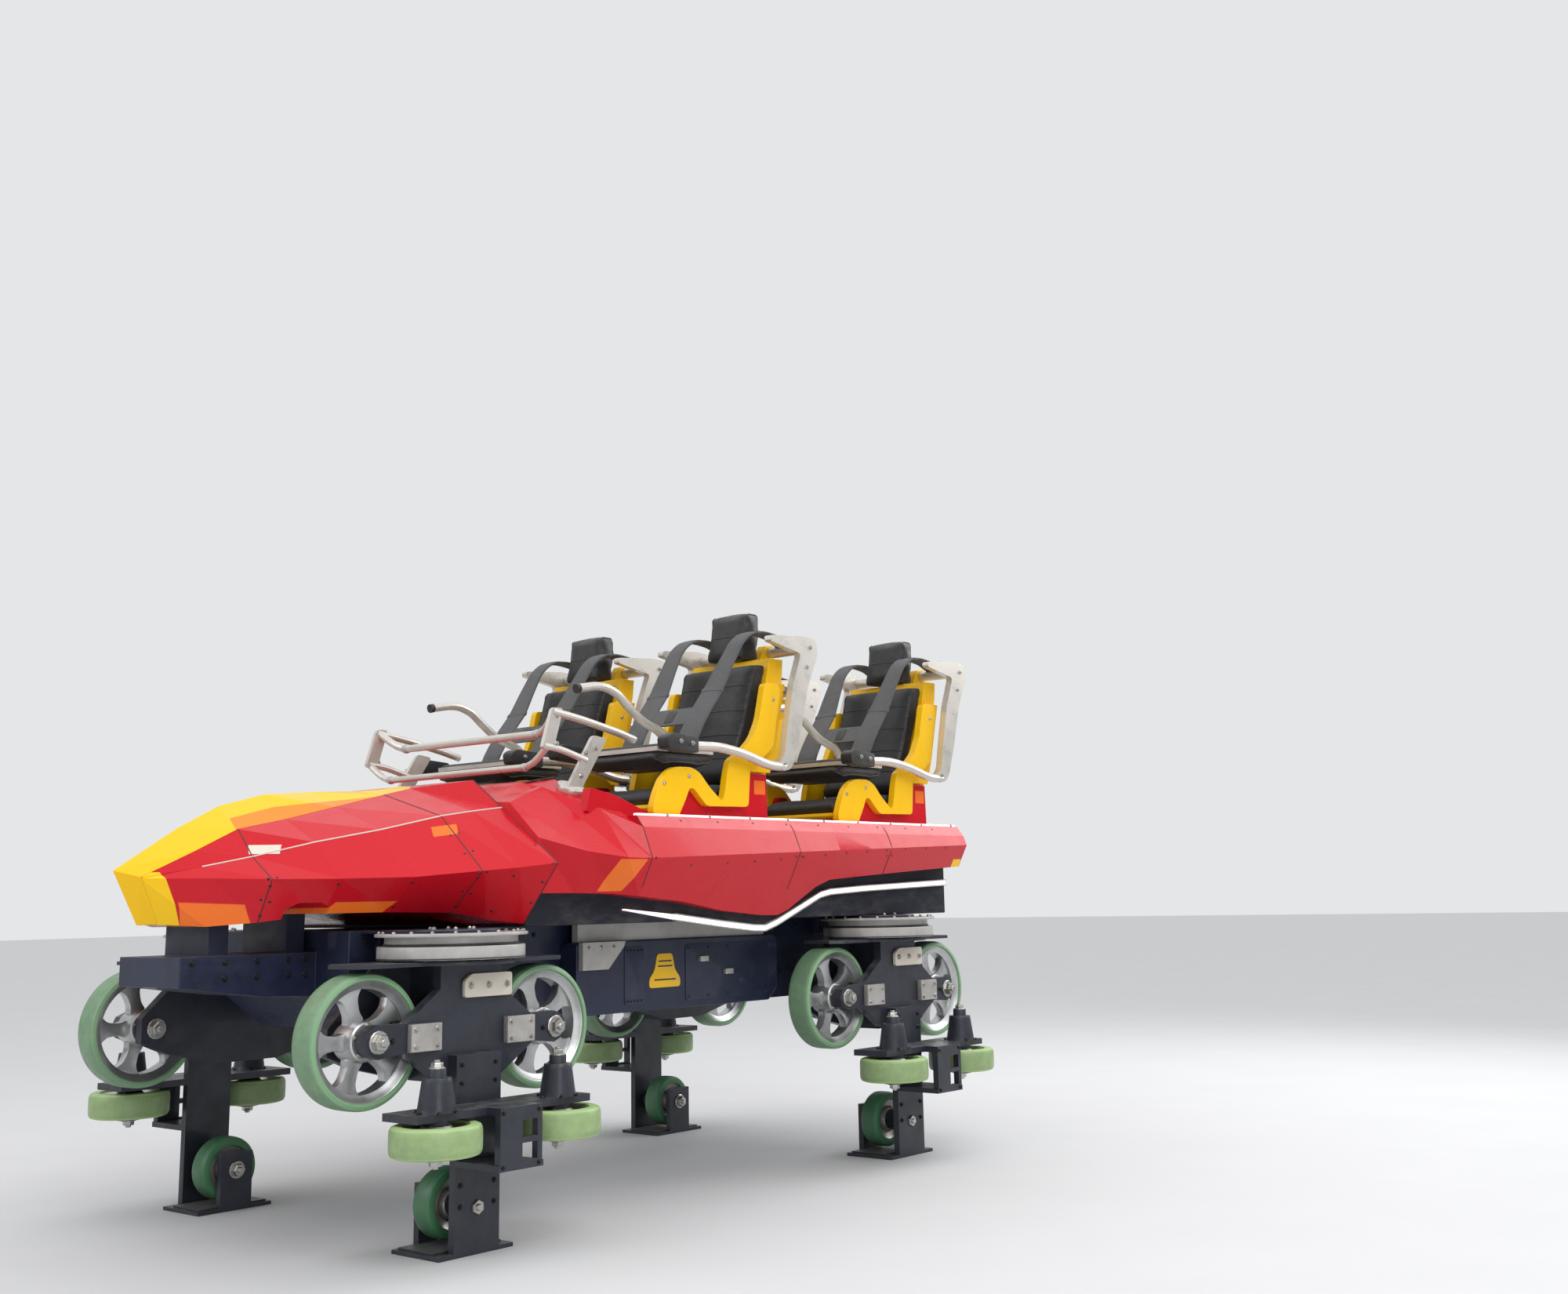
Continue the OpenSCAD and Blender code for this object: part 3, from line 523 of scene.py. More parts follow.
def sweep(path: Sequence[Vector], section: Sequence[Flat], caps: bool = True,
          side: Vector | None = None) -> Shape:
    """Carry a closed section along a path without twist.

    Args:
        path: Points in space.
        section: Section as (sideways, up) about the path.
        caps: Whether the ends are filled.
        side: Direction of the first section's sideways axis.

    Returns:
        The swept shape, with thread coordinates in its own units.
    """
    side = side or Vector((0, 1, 0))
    rings, run = [], 0.0
    weave: list[Vector] = []
    for i, p in enumerate(path):
        ahead = (path[min(i + 1, len(path) - 1)] - path[max(i - 1, 0)]).normalized()
        if i:
            run += (p - path[i - 1]).length
        side = (side - ahead * side.dot(ahead)).normalized()
        up = ahead.cross(side)
        rings.append([p + side * u + up * v for u, v in section])
        weave += [Vector((run, u, 0)) for u, _ in section]
    shape = skin(rings, caps=caps)
    shape.weave = weave
    return shape


def circle(radius: float, sides: int = 24) -> list[Flat]:
    """Return a round section."""
    return [(radius * math.cos(2 * math.pi * i / sides), radius * math.sin(2 * math.pi * i / sides))
            for i in range(sides)]


def pill(width: float, height: float, crown: float = 0.25, steps: int = 5) -> list[Flat]:
    """Return a flat section with round edges and a low crown."""
    r, out = height / 2, []
    for centre, start in ((width / 2 - r, -90), (-(width / 2 - r), 90)):
        for k in range(steps + 1):
            a = math.radians(start + 180 * k / steps)
            out.append((centre + r * math.cos(a), r * math.sin(a)))
        if start == -90:
            out.append((0.0, r * (1 + crown)))
    return out


def prism(outline: Sequence[Sequence[float]], low: float, high: float) -> Shape:
    """Extrude a flat outline along z."""
    rings = [[Vector((p[0], p[1], z)) for p in outline] for z in (low, high)]
    return skin(rings)


def upright(outline: Sequence[Sequence[float]], low: float, high: float) -> Shape:
    """Extrude an outline of (forward, up) points along y."""
    turn = Matrix(((1, 0, 0, 0), (0, 0, 1, 0), (0, 1, 0, 0), (0, 0, 0, 1)))
    return prism(outline, low, high).moved(turn)


def along_y(shape: Shape) -> Shape:
    """Turn a shape made about z so that its axis lies along y."""
    return shape.moved(Matrix.Rotation(math.radians(-90), 4, "X"))


def box(low: Point, high: Point) -> Shape:
    """Return a block between two corners."""
    return prism([(low[0], low[1]), (high[0], low[1]), (high[0], high[1]), (low[0], high[1])],
                 low[2], high[2])


class Head(Enum):
    """Kinds of fastener heads."""

    HEX = "hex"
    BUTTON = "button"
    RIVET = "rivet"
    STITCH = "stitch"


def turned(profile: Sequence[Flat], steps: int) -> Shape:
    """Turn an open profile of (radius, height) about z, from the foot up, and fill its ends."""
    spin = [2 * math.pi * i / steps for i in range(steps)]
    return skin([[Vector((r * math.cos(a), r * math.sin(a), z)) for a in spin] for r, z in profile])


def head_shape(kind: Head) -> Shape:
    """Model one fastener head of unit radius, or a stitch along x, seated on z = 0."""
    if kind is Head.STITCH:
        return sweep([Vector((-1.0, 0, -0.1)), Vector((0, 0, 0.2)), Vector((1.0, 0, -0.1))],
                     circle(0.26, 4))
    if kind is Head.HEX:
        washer = turned([(1.0, -0.2), (1.0, 0.10), (0.93, 0.16)], 14)
        nut = turned([(0.74, 0.16), (0.74, 0.60), (0.67, 0.70)], 6)
        stud = turned([(0.36, 0.5), (0.36, 0.92), (0.30, 0.98)], 8)
        return union([washer, nut, stud])
    if kind is Head.BUTTON:
        return turned([(1.0, -0.2), (1.0, 0.0), (0.80, 0.37), (0.53, 0.53), (0.44, 0.50),
                       (0.40, 0.20)], 12)
    return turned([(1.0, -0.2), (1.0, 0.0), (0.80, 0.25), (0.40, 0.38)], 10)


class Workshop:
    """Makes materials and pieces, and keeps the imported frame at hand."""

    def __init__(self, frame: dict) -> None:
        """Keep the frame and start an empty store of materials."""
        self.nodes: dict[str, bpy.types.Object] = frame["nodes"]
        self.pivot = {j["name"]: Vector(j["pos_m"])
                      for j in frame["record"]["behaviour"]["joints"]}
        self._made: dict[Finish, bpy.types.Material] = {}
        self._row: bpy.types.NodeTree | None = None
        self.count = 0

    def material(self, finish: Finish) -> bpy.types.Material:
        """Return the material of a finish, built once."""
        if finish not in self._made:
            self._made[finish] = finish.make()
        return self._made[finish]

    def dress(self, node: str, finish: Finish, bevel: float = 2.0) -> None:
        """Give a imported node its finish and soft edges.

        Args:
            node: Name of the node.
            finish: Its finish.
            bevel: Width of its softened edges in millimetres.
        """
        obj = self.nodes[node]
        obj.data.materials.clear()
        obj.data.materials.append(self.material(finish))
        if bevel:
            obj.modifiers.new("weld", "WELD").merge_threshold = WELD_GAP
            soft = obj.modifiers.new("edges", "BEVEL")
            soft.width, soft.segments, soft.limit_method = bevel * MM, 2, "ANGLE"
            soft.angle_limit, soft.harden_normals = SOFT_EDGE, True
            soft.use_clamp_overlap = True

    def mesh(self, name: str, parts: Sequence[tuple[Shape, Finish]], bevel: float = 0.0,
             sharp: float = 35.0) -> bpy.types.Object:
        """Build an object from shapes and their finishes.

        Args:
            name: Name of the piece.
            parts: Each shape with its finish.
            bevel: Width of its softened edges in millimetres.
            sharp: Angle in degrees from which an edge stays sharp.

        Returns:
            The object, linked to the scene.
        """
        whole = union(shape for shape, _ in parts)
        data = bpy.data.meshes.new(name)
        data.from_pydata(whole.points, [], whole.faces)
        index = []
        for slot, (shape, finish) in enumerate(parts):
            data.materials.append(self.material(finish))
            index += [slot] * len(shape.faces)
        data.polygons.foreach_set("material_index", index)
        if any(whole.tread):
            data.attributes.new("tread", "FLOAT", "POINT").data.foreach_set("value", whole.tread)
        if any(shape.weave for shape, _ in parts):
            data.attributes.new("weave", "FLOAT_VECTOR", "POINT").data.foreach_set(
                "vector", [v for w in whole.weave for v in w])
        work = bmesh.new()
        work.from_mesh(data)
        bmesh.ops.recalc_face_normals(work, faces=work.faces)
        if bevel:
            edges = [e for e in work.edges
                     if len(e.link_faces) == 2 and e.calc_face_angle(0.0) > SOFT_EDGE]
            bmesh.ops.bevel(work, geom=edges, offset=bevel * MM, segments=2, profile=0.6,
                            affect="EDGES", clamp_overlap=True)
        work.to_mesh(data)
        work.free()
        data.shade_smooth()
        data.set_sharp_from_angle(angle=math.radians(sharp))
        obj = bpy.data.objects.new(name, data)
        bpy.context.scene.collection.objects.link(obj)
        return obj

    def piece(self, name: str, parts: Sequence[tuple[Shape, Finish]], body: str, slot: str,
              stands_for: Sequence[str] = (), bevel: float = 0.0, sharp: float = 35.0) -> None:
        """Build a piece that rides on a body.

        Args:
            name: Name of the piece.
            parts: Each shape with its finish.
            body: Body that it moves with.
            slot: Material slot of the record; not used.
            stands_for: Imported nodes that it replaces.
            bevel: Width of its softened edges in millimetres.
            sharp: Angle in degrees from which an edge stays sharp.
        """
        self.enrol(self.mesh(name, parts, bevel, sharp), body, slot, stands_for)

    def row(self, name: str, first: Shape, finish: Finish, count: int, step: Vector, body: str,
            slot: str, bevel: float = 0.5) -> None:
        """Repeat a shape in a row by nodes.

        Args:
            name: Name of the piece.
            first: The first of the row, in the frame.
            finish: Its finish.
            count: Number of copies.
            step: Way from one copy to the next, in metres.
            body: Body that it moves with.
            slot: Material slot of the record; not used.
            bevel: Width of its softened edges in millimetres.
        """
        self._row = self._row or row_group()
        seed = self.mesh(name + "_first", [(first, finish)], bevel)
        obj = grown(name, seed.data, self._row,
                    {"Count": count, "Step": step, "Finish": self.material(finish)})
        bpy.data.objects.remove(seed)
        self.enrol(obj, body, slot)

    def enrol(self, obj: bpy.types.Object, body: str, slot: str,
              stands_for: Sequence[str] = ()) -> None:
        """Tell the frame about a finished piece."""
        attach(obj, body)
        if stands_for:
            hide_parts(*stands_for)
        self.count += 1


def node_group(name: str, inputs: Sequence[tuple[str, str]]) -> tuple[
        bpy.types.NodeTree, bpy.types.Node, bpy.types.Node]:
    """Start a geometry node group with named inputs.

    Args:
        name: Name of the group.
        inputs: Name and socket type of each input after the geometry.

    Returns:
        The tree, its input node and its output node.
    """
    tree = bpy.data.node_groups.new(name, "GeometryNodeTree")
    face = tree.interface
    face.new_socket("Geometry", in_out="INPUT", socket_type="NodeSocketGeometry")
    for label, kind in inputs:
        face.new_socket(label, in_out="INPUT", socket_type=f"NodeSocket{kind}")
    face.new_socket("Geometry", in_out="OUTPUT", socket_type="NodeSocketGeometry")
    return tree, tree.nodes.new("NodeGroupInput"), tree.nodes.new("NodeGroupOutput")


def close_group(tree: bpy.types.NodeTree, instances: bpy.types.NodeSocket,
                start: bpy.types.Node, end: bpy.types.Node) -> None:
    """End a group: realize its instances and set their material."""
    real = tree.nodes.new("GeometryNodeRealizeInstances")
    paint = tree.nodes.new("GeometryNodeSetMaterial")
    tree.links.new(instances, real.inputs[0])
    tree.links.new(real.outputs[0], paint.inputs["Geometry"])
    tree.links.new(start.outputs["Finish"], paint.inputs["Material"])
    tree.links.new(paint.outputs[0], end.inputs[0])


def grown(name: str, data: bpy.types.Mesh, tree: bpy.types.NodeTree,
          values: dict[str, object]) -> bpy.types.Object:
    """Run a node group over a mesh and return the plain result.

    Args:
        name: Name of the finished object.
        data: Mesh that the group starts from.
        tree: The node group.
        values: Value of each named input.

    Returns:
        A new object with the result as a plain mesh.
    """
    sockets = {item.name: item.identifier for item in tree.interface.items_tree
               if item.in_out == "INPUT"}
    base = bpy.data.objects.new(name + "_base", data)
    bpy.context.scene.collection.objects.link(base)
    modifier = base.modifiers.new("grow", "NODES")
    modifier.node_group = tree
    for key, value in values.items():
        modifier[sockets[key]] = value
    bpy.context.view_layer.update()
    ready = base.evaluated_get(bpy.context.evaluated_depsgraph_get())
    obj = bpy.data.objects.new(name, bpy.data.meshes.new_from_object(ready))
    bpy.context.scene.collection.objects.link(obj)
    bpy.data.objects.remove(base)
    return obj


def row_group() -> bpy.types.NodeTree:
    """Build the node group that repeats a mesh in a row."""
    tree, start, end = node_group("row", (("Count", "Int"), ("Step", "Vector"),
                                          ("Finish", "Material")))
    line = tree.nodes.new("GeometryNodeMeshLine")
    copies = tree.nodes.new("GeometryNodeInstanceOnPoints")
    tree.links.new(start.outputs["Count"], line.inputs["Count"])
    tree.links.new(start.outputs["Step"], line.inputs["Offset"])
    tree.links.new(line.outputs[0], copies.inputs["Points"])
    tree.links.new(start.outputs["Geometry"], copies.inputs["Instance"])
    close_group(tree, copies.outputs[0], start, end)
    return tree


@dataclass(frozen=True)
class Spot:
    """Place of one fastener.

    Attributes:
        place: Where it sits.
        facing: Where its top faces.
        radius: Radius of its head, or half the length of a stitch.
        along: Direction of its own x axis, or None for a turn of its own.
    """

    place: Vector
    facing: Vector
    radius: float
    along: Vector | None = None


class Fasteners:
    """Sets heads and stitches out on points with a node group, one piece a body and kind."""

    def __init__(self, shop: Workshop) -> None:
        """Start with no spots."""
        self.shop = shop
        self.spots: dict[tuple[str, Head, Finish], list[Spot]] = {}

    def add(self, body: str, kind: Head, finish: Finish, spots: Iterable[Spot]) -> None:
        """Ask for heads of a kind on a body."""
        self.spots.setdefault((body, kind, finish), []).extend(spots)

    @staticmethod
    def group() -> bpy.types.NodeTree:
        """Build the node group that sets a head on every point."""
        tree, start, end = node_group("fasteners", (("Head", "Object"), ("Finish", "Material"),
                                                    ("Size", "Float")))
        new, link = tree.nodes.new, tree.links.new
        read = {}
        for name, kind in (("facing", "FLOAT_VECTOR"), ("along", "FLOAT_VECTOR"),
                           ("head_size", "FLOAT")):
            node = new("GeometryNodeInputNamedAttribute")
            node.data_type = kind
            node.inputs["Name"].default_value = name
            read[name] = node.outputs["Attribute"]
        aim, turn = (new("FunctionNodeAlignRotationToVector") for _ in range(2))
        turn.axis, turn.pivot_axis = "X", "Z"
        size = new("ShaderNodeMath")
        size.operation = "MULTIPLY"
        head, points = new("GeometryNodeObjectInfo"), new("GeometryNodeMeshToPoints")
        instances = new("GeometryNodeInstanceOnPoints")
        link(start.outputs["Geometry"], points.inputs["Mesh"])
        link(points.outputs[0], instances.inputs["Points"])
        link(start.outputs["Head"], head.inputs["Object"])
        link(head.outputs["Geometry"], instances.inputs["Instance"])
        link(read["facing"], aim.inputs["Vector"])
        link(aim.outputs[0], turn.inputs["Rotation"])
        link(read["along"], turn.inputs["Vector"])
        link(turn.outputs[0], instances.inputs["Rotation"])
        link(read["head_size"], size.inputs[0])
        link(start.outputs["Size"], size.inputs[1])
        link(size.outputs[0], instances.inputs["Scale"])
        close_group(tree, instances.outputs[0], start, end)
        return tree

    def build(self) -> None:
        """Make all the pieces and clear the helpers away."""
        tree, heads, chance = self.group(), {}, random.Random(7)
        for (body, kind, finish), spots in sorted(
                self.spots.items(),
                key=lambda item: (item[0][0], item[0][1].value, item[0][2].name)):
            if kind not in heads:
                heads[kind] = self.shop.mesh(f"head_{kind.value}", [(head_shape(kind), finish)])
            along = []
            for spot in spots:
                side = spot.facing.orthogonal()
                side.rotate(Quaternion(spot.facing, chance.uniform(0, 2 * math.pi)))
                along.append(spot.along or side)
            data = bpy.data.meshes.new("points")
            data.from_pydata([s.place for s in spots], [], [])
            for name, values in (("facing", [s.facing for s in spots]), ("along", along)):
                data.attributes.new(name, "FLOAT_VECTOR", "POINT").data.foreach_set(
                    "vector", [v for item in values for v in item])
            data.attributes.new("head_size", "FLOAT", "POINT").data.foreach_set(
                "value", [s.radius for s in spots])
            obj = grown(f"{kind.value}_{finish.name}_{body}", data, tree,
                        {"Head": heads[kind], "Finish": self.shop.material(finish), "Size": 1.0})
            self.shop.enrol(obj, body, self.slot_of(body))
            LOG.info("%s: %d heads", obj.name, len(spots))
        for obj in heads.values():
            bpy.data.objects.remove(obj)

    @staticmethod
    def slot_of(body: str) -> str:
        """Material slot of the record that a body's fasteners belong to."""
        if body.startswith("carrier"):
            return "carrier_steel"
        if body.startswith("restraint"):
            return "cream_paint"
        if "wheel" in body:
            return "stop_tyre" if body.startswith("stop") else "road_tyre"
        return "navy_steel"


# The third, pale colour is a painted highlight on the nose's upper facet.
ORANGE, AMBER, PALE_HIGHLIGHT = (0.86, 0.17, 0.02), (0.93, 0.56, 0.008), (0.74, 0.66, 0.56)

RED = Paint("red_gloss", (0.56, 0.006, 0.016))
YELLOW = Paint("yellow_gloss", (0.90, 0.52, 0.006), gloss=0.28, coat=0.2, dust=0.04)
CREAM = Paint("cream_paint", (0.62, 0.57, 0.49), gloss=0.33, coat=0.3, dust=0.10)
TUB = Paint("tub_dark", (0.012, 0.014, 0.022), gloss=0.5, coat=0.1, dust=0.35)
MARK = Paint("mark_yellow", (0.85, 0.50, 0.02), gloss=0.45, coat=0.2, dust=0.4)
NAVY = Steel("navy_steel", (0.010, 0.016, 0.045))
CARRIER = Steel("carrier_steel", (0.020, 0.023, 0.036), grease=0.7)
SILVER = Steel("silver_paint", (0.60, 0.57, 0.52), rough=0.30, metallic=0.5, grease=0.08, coat=0.3,
               rub=0.0)
RING = Steel("ring_steel", (0.42, 0.41, 0.39), rough=0.38, grease=0.35)
SPOKES = Steel("cast_spokes", (0.52, 0.53, 0.53), rough=0.34, metallic=0.85, grease=0.35)
BLOCK = Steel("bearing_block", (0.50, 0.48, 0.45), rough=0.36, metallic=0.6, grease=0.45)
COUPLER = Steel("coupler_steel", (0.22, 0.22, 0.23), rough=0.4, metallic=0.9, grease=0.5)
ZINC = Steel("zinc_bolts", (0.50, 0.49, 0.46), rough=0.3, metallic=0.95, grease=0.35, coat=0.0)
BLACKED = Steel("blacked_bolts", (0.03, 0.03, 0.032), rough=0.35, metallic=0.7, grease=0.2)
ROAD_TYRE = Polyurethane("road_tyre", (0.20, 0.36, 0.20))
GUIDE_TYRE = Polyurethane("guide_tyre", (0.36, 0.52, 0.22))
STOP_TYRE = Polyurethane("stop_tyre", (0.06, 0.20, 0.09))
PAD = Vinyl("black_pad", (0.014, 0.014, 0.016))
PIPING = Vinyl("pad_piping", (0.022, 0.022, 0.024), grain=900.0, rough=0.38)
CLAMP = Vinyl("clamp_rubber", (0.010, 0.010, 0.011), grain=700.0, rough=0.55)
MAT = Vinyl("floor_mat", (0.018, 0.018, 0.019), grain=260.0, rough=0.62)
VEST = Webbing("vest_web", (0.105, 0.107, 0.112))
THREAD = Webbing("stitch_thread", (0.20, 0.20, 0.205), pitch=0.8 * MM)
STRIP = Lamp("strip_light", (1.0, 0.86, 0.90))


@dataclass(frozen=True)
class Car:
    """Driving places of the car, in millimetres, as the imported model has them.

    Stations run back from the nose tip, heights start at the foot of the road wheels.
    """

    nose_x: float = 1860.0
    rail_h: float = 430.0
    gauge: float = 1200.0
    carrier_s: tuple[float, float] = (790.0, 3000.0)
    seat_y: float = 410.0
    row_s: float = 1593.0
    row_pitch: float = 1056.0
    pivot_s: float = 870.0
    pivot_h: float = 1545.0

    def x(self, s: float) -> float:
        """Frame x in metres of a station."""
        return (self.nose_x - s) * MM

    def z(self, h: float) -> float:
        """Frame z in metres of a height."""
        return (self.rail_h + h) * MM

    def spot(self, s: float, y: float, h: float) -> Vector:
        """Frame point of a station, half width and height."""
        return Vector((self.x(s), y * MM, self.z(h)))

    def flat(self, *corners: Flat) -> tuple[Flat, ...]:
        """Corners of a patch in the frame, from stations and heights."""
        return tuple((self.x(s), self.z(h)) for s, h in corners)

    def local(self, s: float, y: float, h: float, side: Side, forward: int) -> Matrix:
        """Matrix from millimetres about a point, mirrored on the right, to the frame."""
        return (Matrix.Translation(self.spot(s, side.value * y, h))
                @ Matrix.Diagonal((forward * MM, side.value * MM, MM, 1)))

    def along(self, side: Side, s: float = 0.0) -> Matrix:
        """Matrix from millimetres (back from a station, out, up) to the frame."""
        return self.local(s, 0, 0, side, -1)

    def carrier(self, end: End, side: Side) -> Matrix:
        """Matrix from a carrier's own millimetres (forward, out, up) to the frame."""
        return self.local(self.carrier_s[end.value], self.gauge / 2, 0, side, 1)

    def row(self, row: End) -> float:
        """Station of the front of a seat row."""
        return self.row_s + row.value * self.row_pitch

    def seat(self, row: End, side: Side) -> Matrix:
        """Matrix from a seat's millimetres (back from its front, out, up) to the frame."""
        return self.local(self.row(row), self.seat_y, 0, side, -1)

    def pivot(self, row: End, side: Side) -> Matrix:
        """Matrix from a restraint's own millimetres (forward, out, up) to the frame."""
        return self.local(self.row(row) + self.pivot_s, self.seat_y, self.pivot_h, side, 1)


@dataclass
class Rig:
    """Sets pieces and fasteners of one body, given in millimetres of its own.

    Attributes:
        shop: Maker of the pieces.
        bolts: Store of the fasteners.
        to: Matrix from its millimetres to the frame.
        body: Body that they move with.
        slot: Material slot of the record; not used.
    """

    shop: Workshop
    bolts: Fasteners
    to: Matrix
    body: str = "car"
    slot: str = "navy_steel"

    def piece(self, name: str, finish: Finish, *shapes: Shape, slot: str = "", bevel: float = 0.0,
              sharp: float = 35.0, stands_for: Sequence[str] = ()) -> None:
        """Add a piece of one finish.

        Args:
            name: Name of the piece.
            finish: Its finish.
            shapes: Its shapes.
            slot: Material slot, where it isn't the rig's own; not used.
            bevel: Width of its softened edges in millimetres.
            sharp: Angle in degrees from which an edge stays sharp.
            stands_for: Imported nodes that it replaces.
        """
        self.shop.piece(name, [(union(shapes).moved(self.to), finish)], self.body,
                        slot or self.slot, stands_for, bevel, sharp)

    def heads(self, kind: Head, finish: Finish, facing: Point, radius: float,
              points: Iterable[Sequence[float]]) -> None:
        """Set heads that face one way.

        Args:
            kind: Their kind.
            finish: Their finish.
            facing: Where their tops face.
            radius: Radius of each head.
            points: Their places.
        """
        out = (self.to.to_3x3() @ Vector(facing)).normalized()
        self.bolts.add(self.body, kind, finish,
                       [Spot(self.to @ Vector(p), out, radius * MM) for p in points])

    def ring(self, kind: Head, finish: Finish, facing: Point, radius: float,
             centre: Sequence[float], across: float, count: int, start: float = 0.0) -> None:
        """Set heads in a circle that they face out of.

        Args:
            kind: Their kind.
            finish: Their finish.
            facing: Direction along y or z.
            radius: Radius of each head.
            centre: Middle of the circle.
            across: Radius of the circle.
            count: Number of heads.
            start: Angle of the first one in degrees.
        """
        points = []
        for i in range(count):
            a = math.radians(start) + 2 * math.pi * i / count
            u, v = across * math.cos(a), across * math.sin(a)
            offset = (u, 0, v) if facing[1] else (u, v, 0)
            points.append(tuple(c + o for c, o in zip(centre, offset)))
        self.heads(kind, finish, facing, radius, points)


@dataclass(frozen=True)
class WheelForm:
    """Sizes of one kind of wheel, in millimetres, with its finish and place in the record."""

    diameter: float
    width: float
    rim: float
    hub: float
    spokes: int
    bolts: int
    tread: Polyurethane
    slot: str
    upright: bool = False

    @staticmethod
    def both(side: Sequence[Flat], middle: Sequence[Flat] = (), steps: int = 72,
             band: float | None = None) -> Shape:
        """Turn half of a symmetric profile, given from the inside out, with its mirror image."""
        return lathe([(a, -b) for a, b in side] + [*middle, *side[::-1]], steps, band)

    def tyre(self) -> Shape:
        """Cast tyre with round shoulders and a slight crown."""
        r, w, inner = self.diameter / 2, self.width / 2, self.rim - 2
        side = [(inner, w - 7), (inner + 3, w - 1), (r - 15, w), (r - 6, w - 3.5),
                (r - 1.6, w - 11), (r - 0.3, w - 22)]
        return self.both(side, [(r, 0)], 96, r - 3)

    def rim_ring(self) -> Shape:
        """Metal ring under the tyre."""
        r, w = self.rim, self.width / 2
        return self.both([(r - 24, w * 0.50), (r - 10, w * 0.66), (r - 5, w - 10), (r - 1, w - 7)])

    def hub_form(self) -> Shape:
        """Stepped hub with its bearing seat."""
        h, w, bore = self.hub, self.width / 2 - 4, 29.0
        return self.both([(bore, w - 6), (bore + 9, w - 6), (bore + 10, w), (h - 9, w),
                          (h - 4, w - 4), (h, w * 0.45)], steps=48)

    def web(self) -> list[Shape]:
        """Spokes, or a dished plate where there are none."""
        if not self.spokes:
            h, r = self.hub - 3, self.rim - 20
            return [self.both([(h, 9), (h + 10, 7), (r - 6, 7), (r, 12)], steps=64)]
        h, r, t = self.hub - 8, self.rim - 16, self.width * 0.17
        half = [(h, 30), (h + 28, 19), (r - 34, 24), (r, 58)]
        outline = rounded(half + [(a, -b) for a, b in half[::-1]], 14, 4, True)
        return [prism(outline, -t, t).moved(Matrix.Rotation(2 * math.pi * i / self.spokes, 4, "Z"))
                for i in range(self.spokes)]


ROAD = WheelForm(388, 100, 173, 60, 5, 5, ROAD_TYRE, "road_tyre")
GUIDE = WheelForm(264, 86, 96, 50, 0, 6, GUIDE_TYRE, "road_tyre", True)
STOP = WheelForm(210, 80, 76, 46, 0, 5, STOP_TYRE, "stop_tyre")


@dataclass
class Wheels:
    """All wheels of one carrier."""

    shop: Workshop
    bolts: Fasteners
    tail: str

    def one(self, kind: str, tail: str, form: WheelForm) -> None:
        """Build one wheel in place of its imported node, about its joint.

        Args:
            kind: First word of the node's name.
            tail: Rest of the names of node and joint.
            form: Its sizes.
        """
        node = f"{kind}_wheel_{tail}"
        about = (Matrix.Translation(self.shop.pivot[f"spin_{kind}_{tail}"])
                 @ Matrix.Diagonal((MM, MM, MM, 1)))
        turn = Matrix.Identity(4) if form.upright else Matrix.Rotation(math.radians(-90), 4, "X")
        metal = SPOKES if form.spokes else BLOCK
        self.shop.piece(f"{node}_wheel", [
            (shape.moved(about @ turn), finish) for shape, finish in (
                (form.tyre(), form.tread), (form.rim_ring(), metal), (form.hub_form(), metal))],
            node, form.slot, (node,), sharp=32)
        self.shop.piece(f"{node}_web", [(union(form.web()).moved(about @ turn), metal)], node,
                        form.slot, bevel=3.5 if form.spokes else 0.0)
        rig = Rig(self.shop, self.bolts, about, node, form.slot)
        for sign in (1, -1):
            facing = (0, 0, sign) if form.upright else (0, sign, 0)
            hub, plate = ([rise * f for f in facing] for rise in (form.width / 2 - 4, 7))
            rig.ring(Head.HEX, ZINC, facing, 8.0 if form.spokes else 5.5, hub,
                     form.hub - 14 if form.hub > 48 else 38, form.bolts, 90)
            if not form.spokes:
                rig.ring(Head.BUTTON, BLACKED, facing, 5.0, plate,
                         (form.hub + form.rim - 20) / 2, form.bolts, 60)

    def build(self) -> None:
        """Build the road wheels, the side wheels and the upstop wheel."""
        for step in ("lead", "trail"):
            self.one("road", f"{self.tail}_{step}", ROAD)
            self.one("side", f"{self.tail}_{step}", GUIDE)
        self.one("stop", self.tail, STOP)


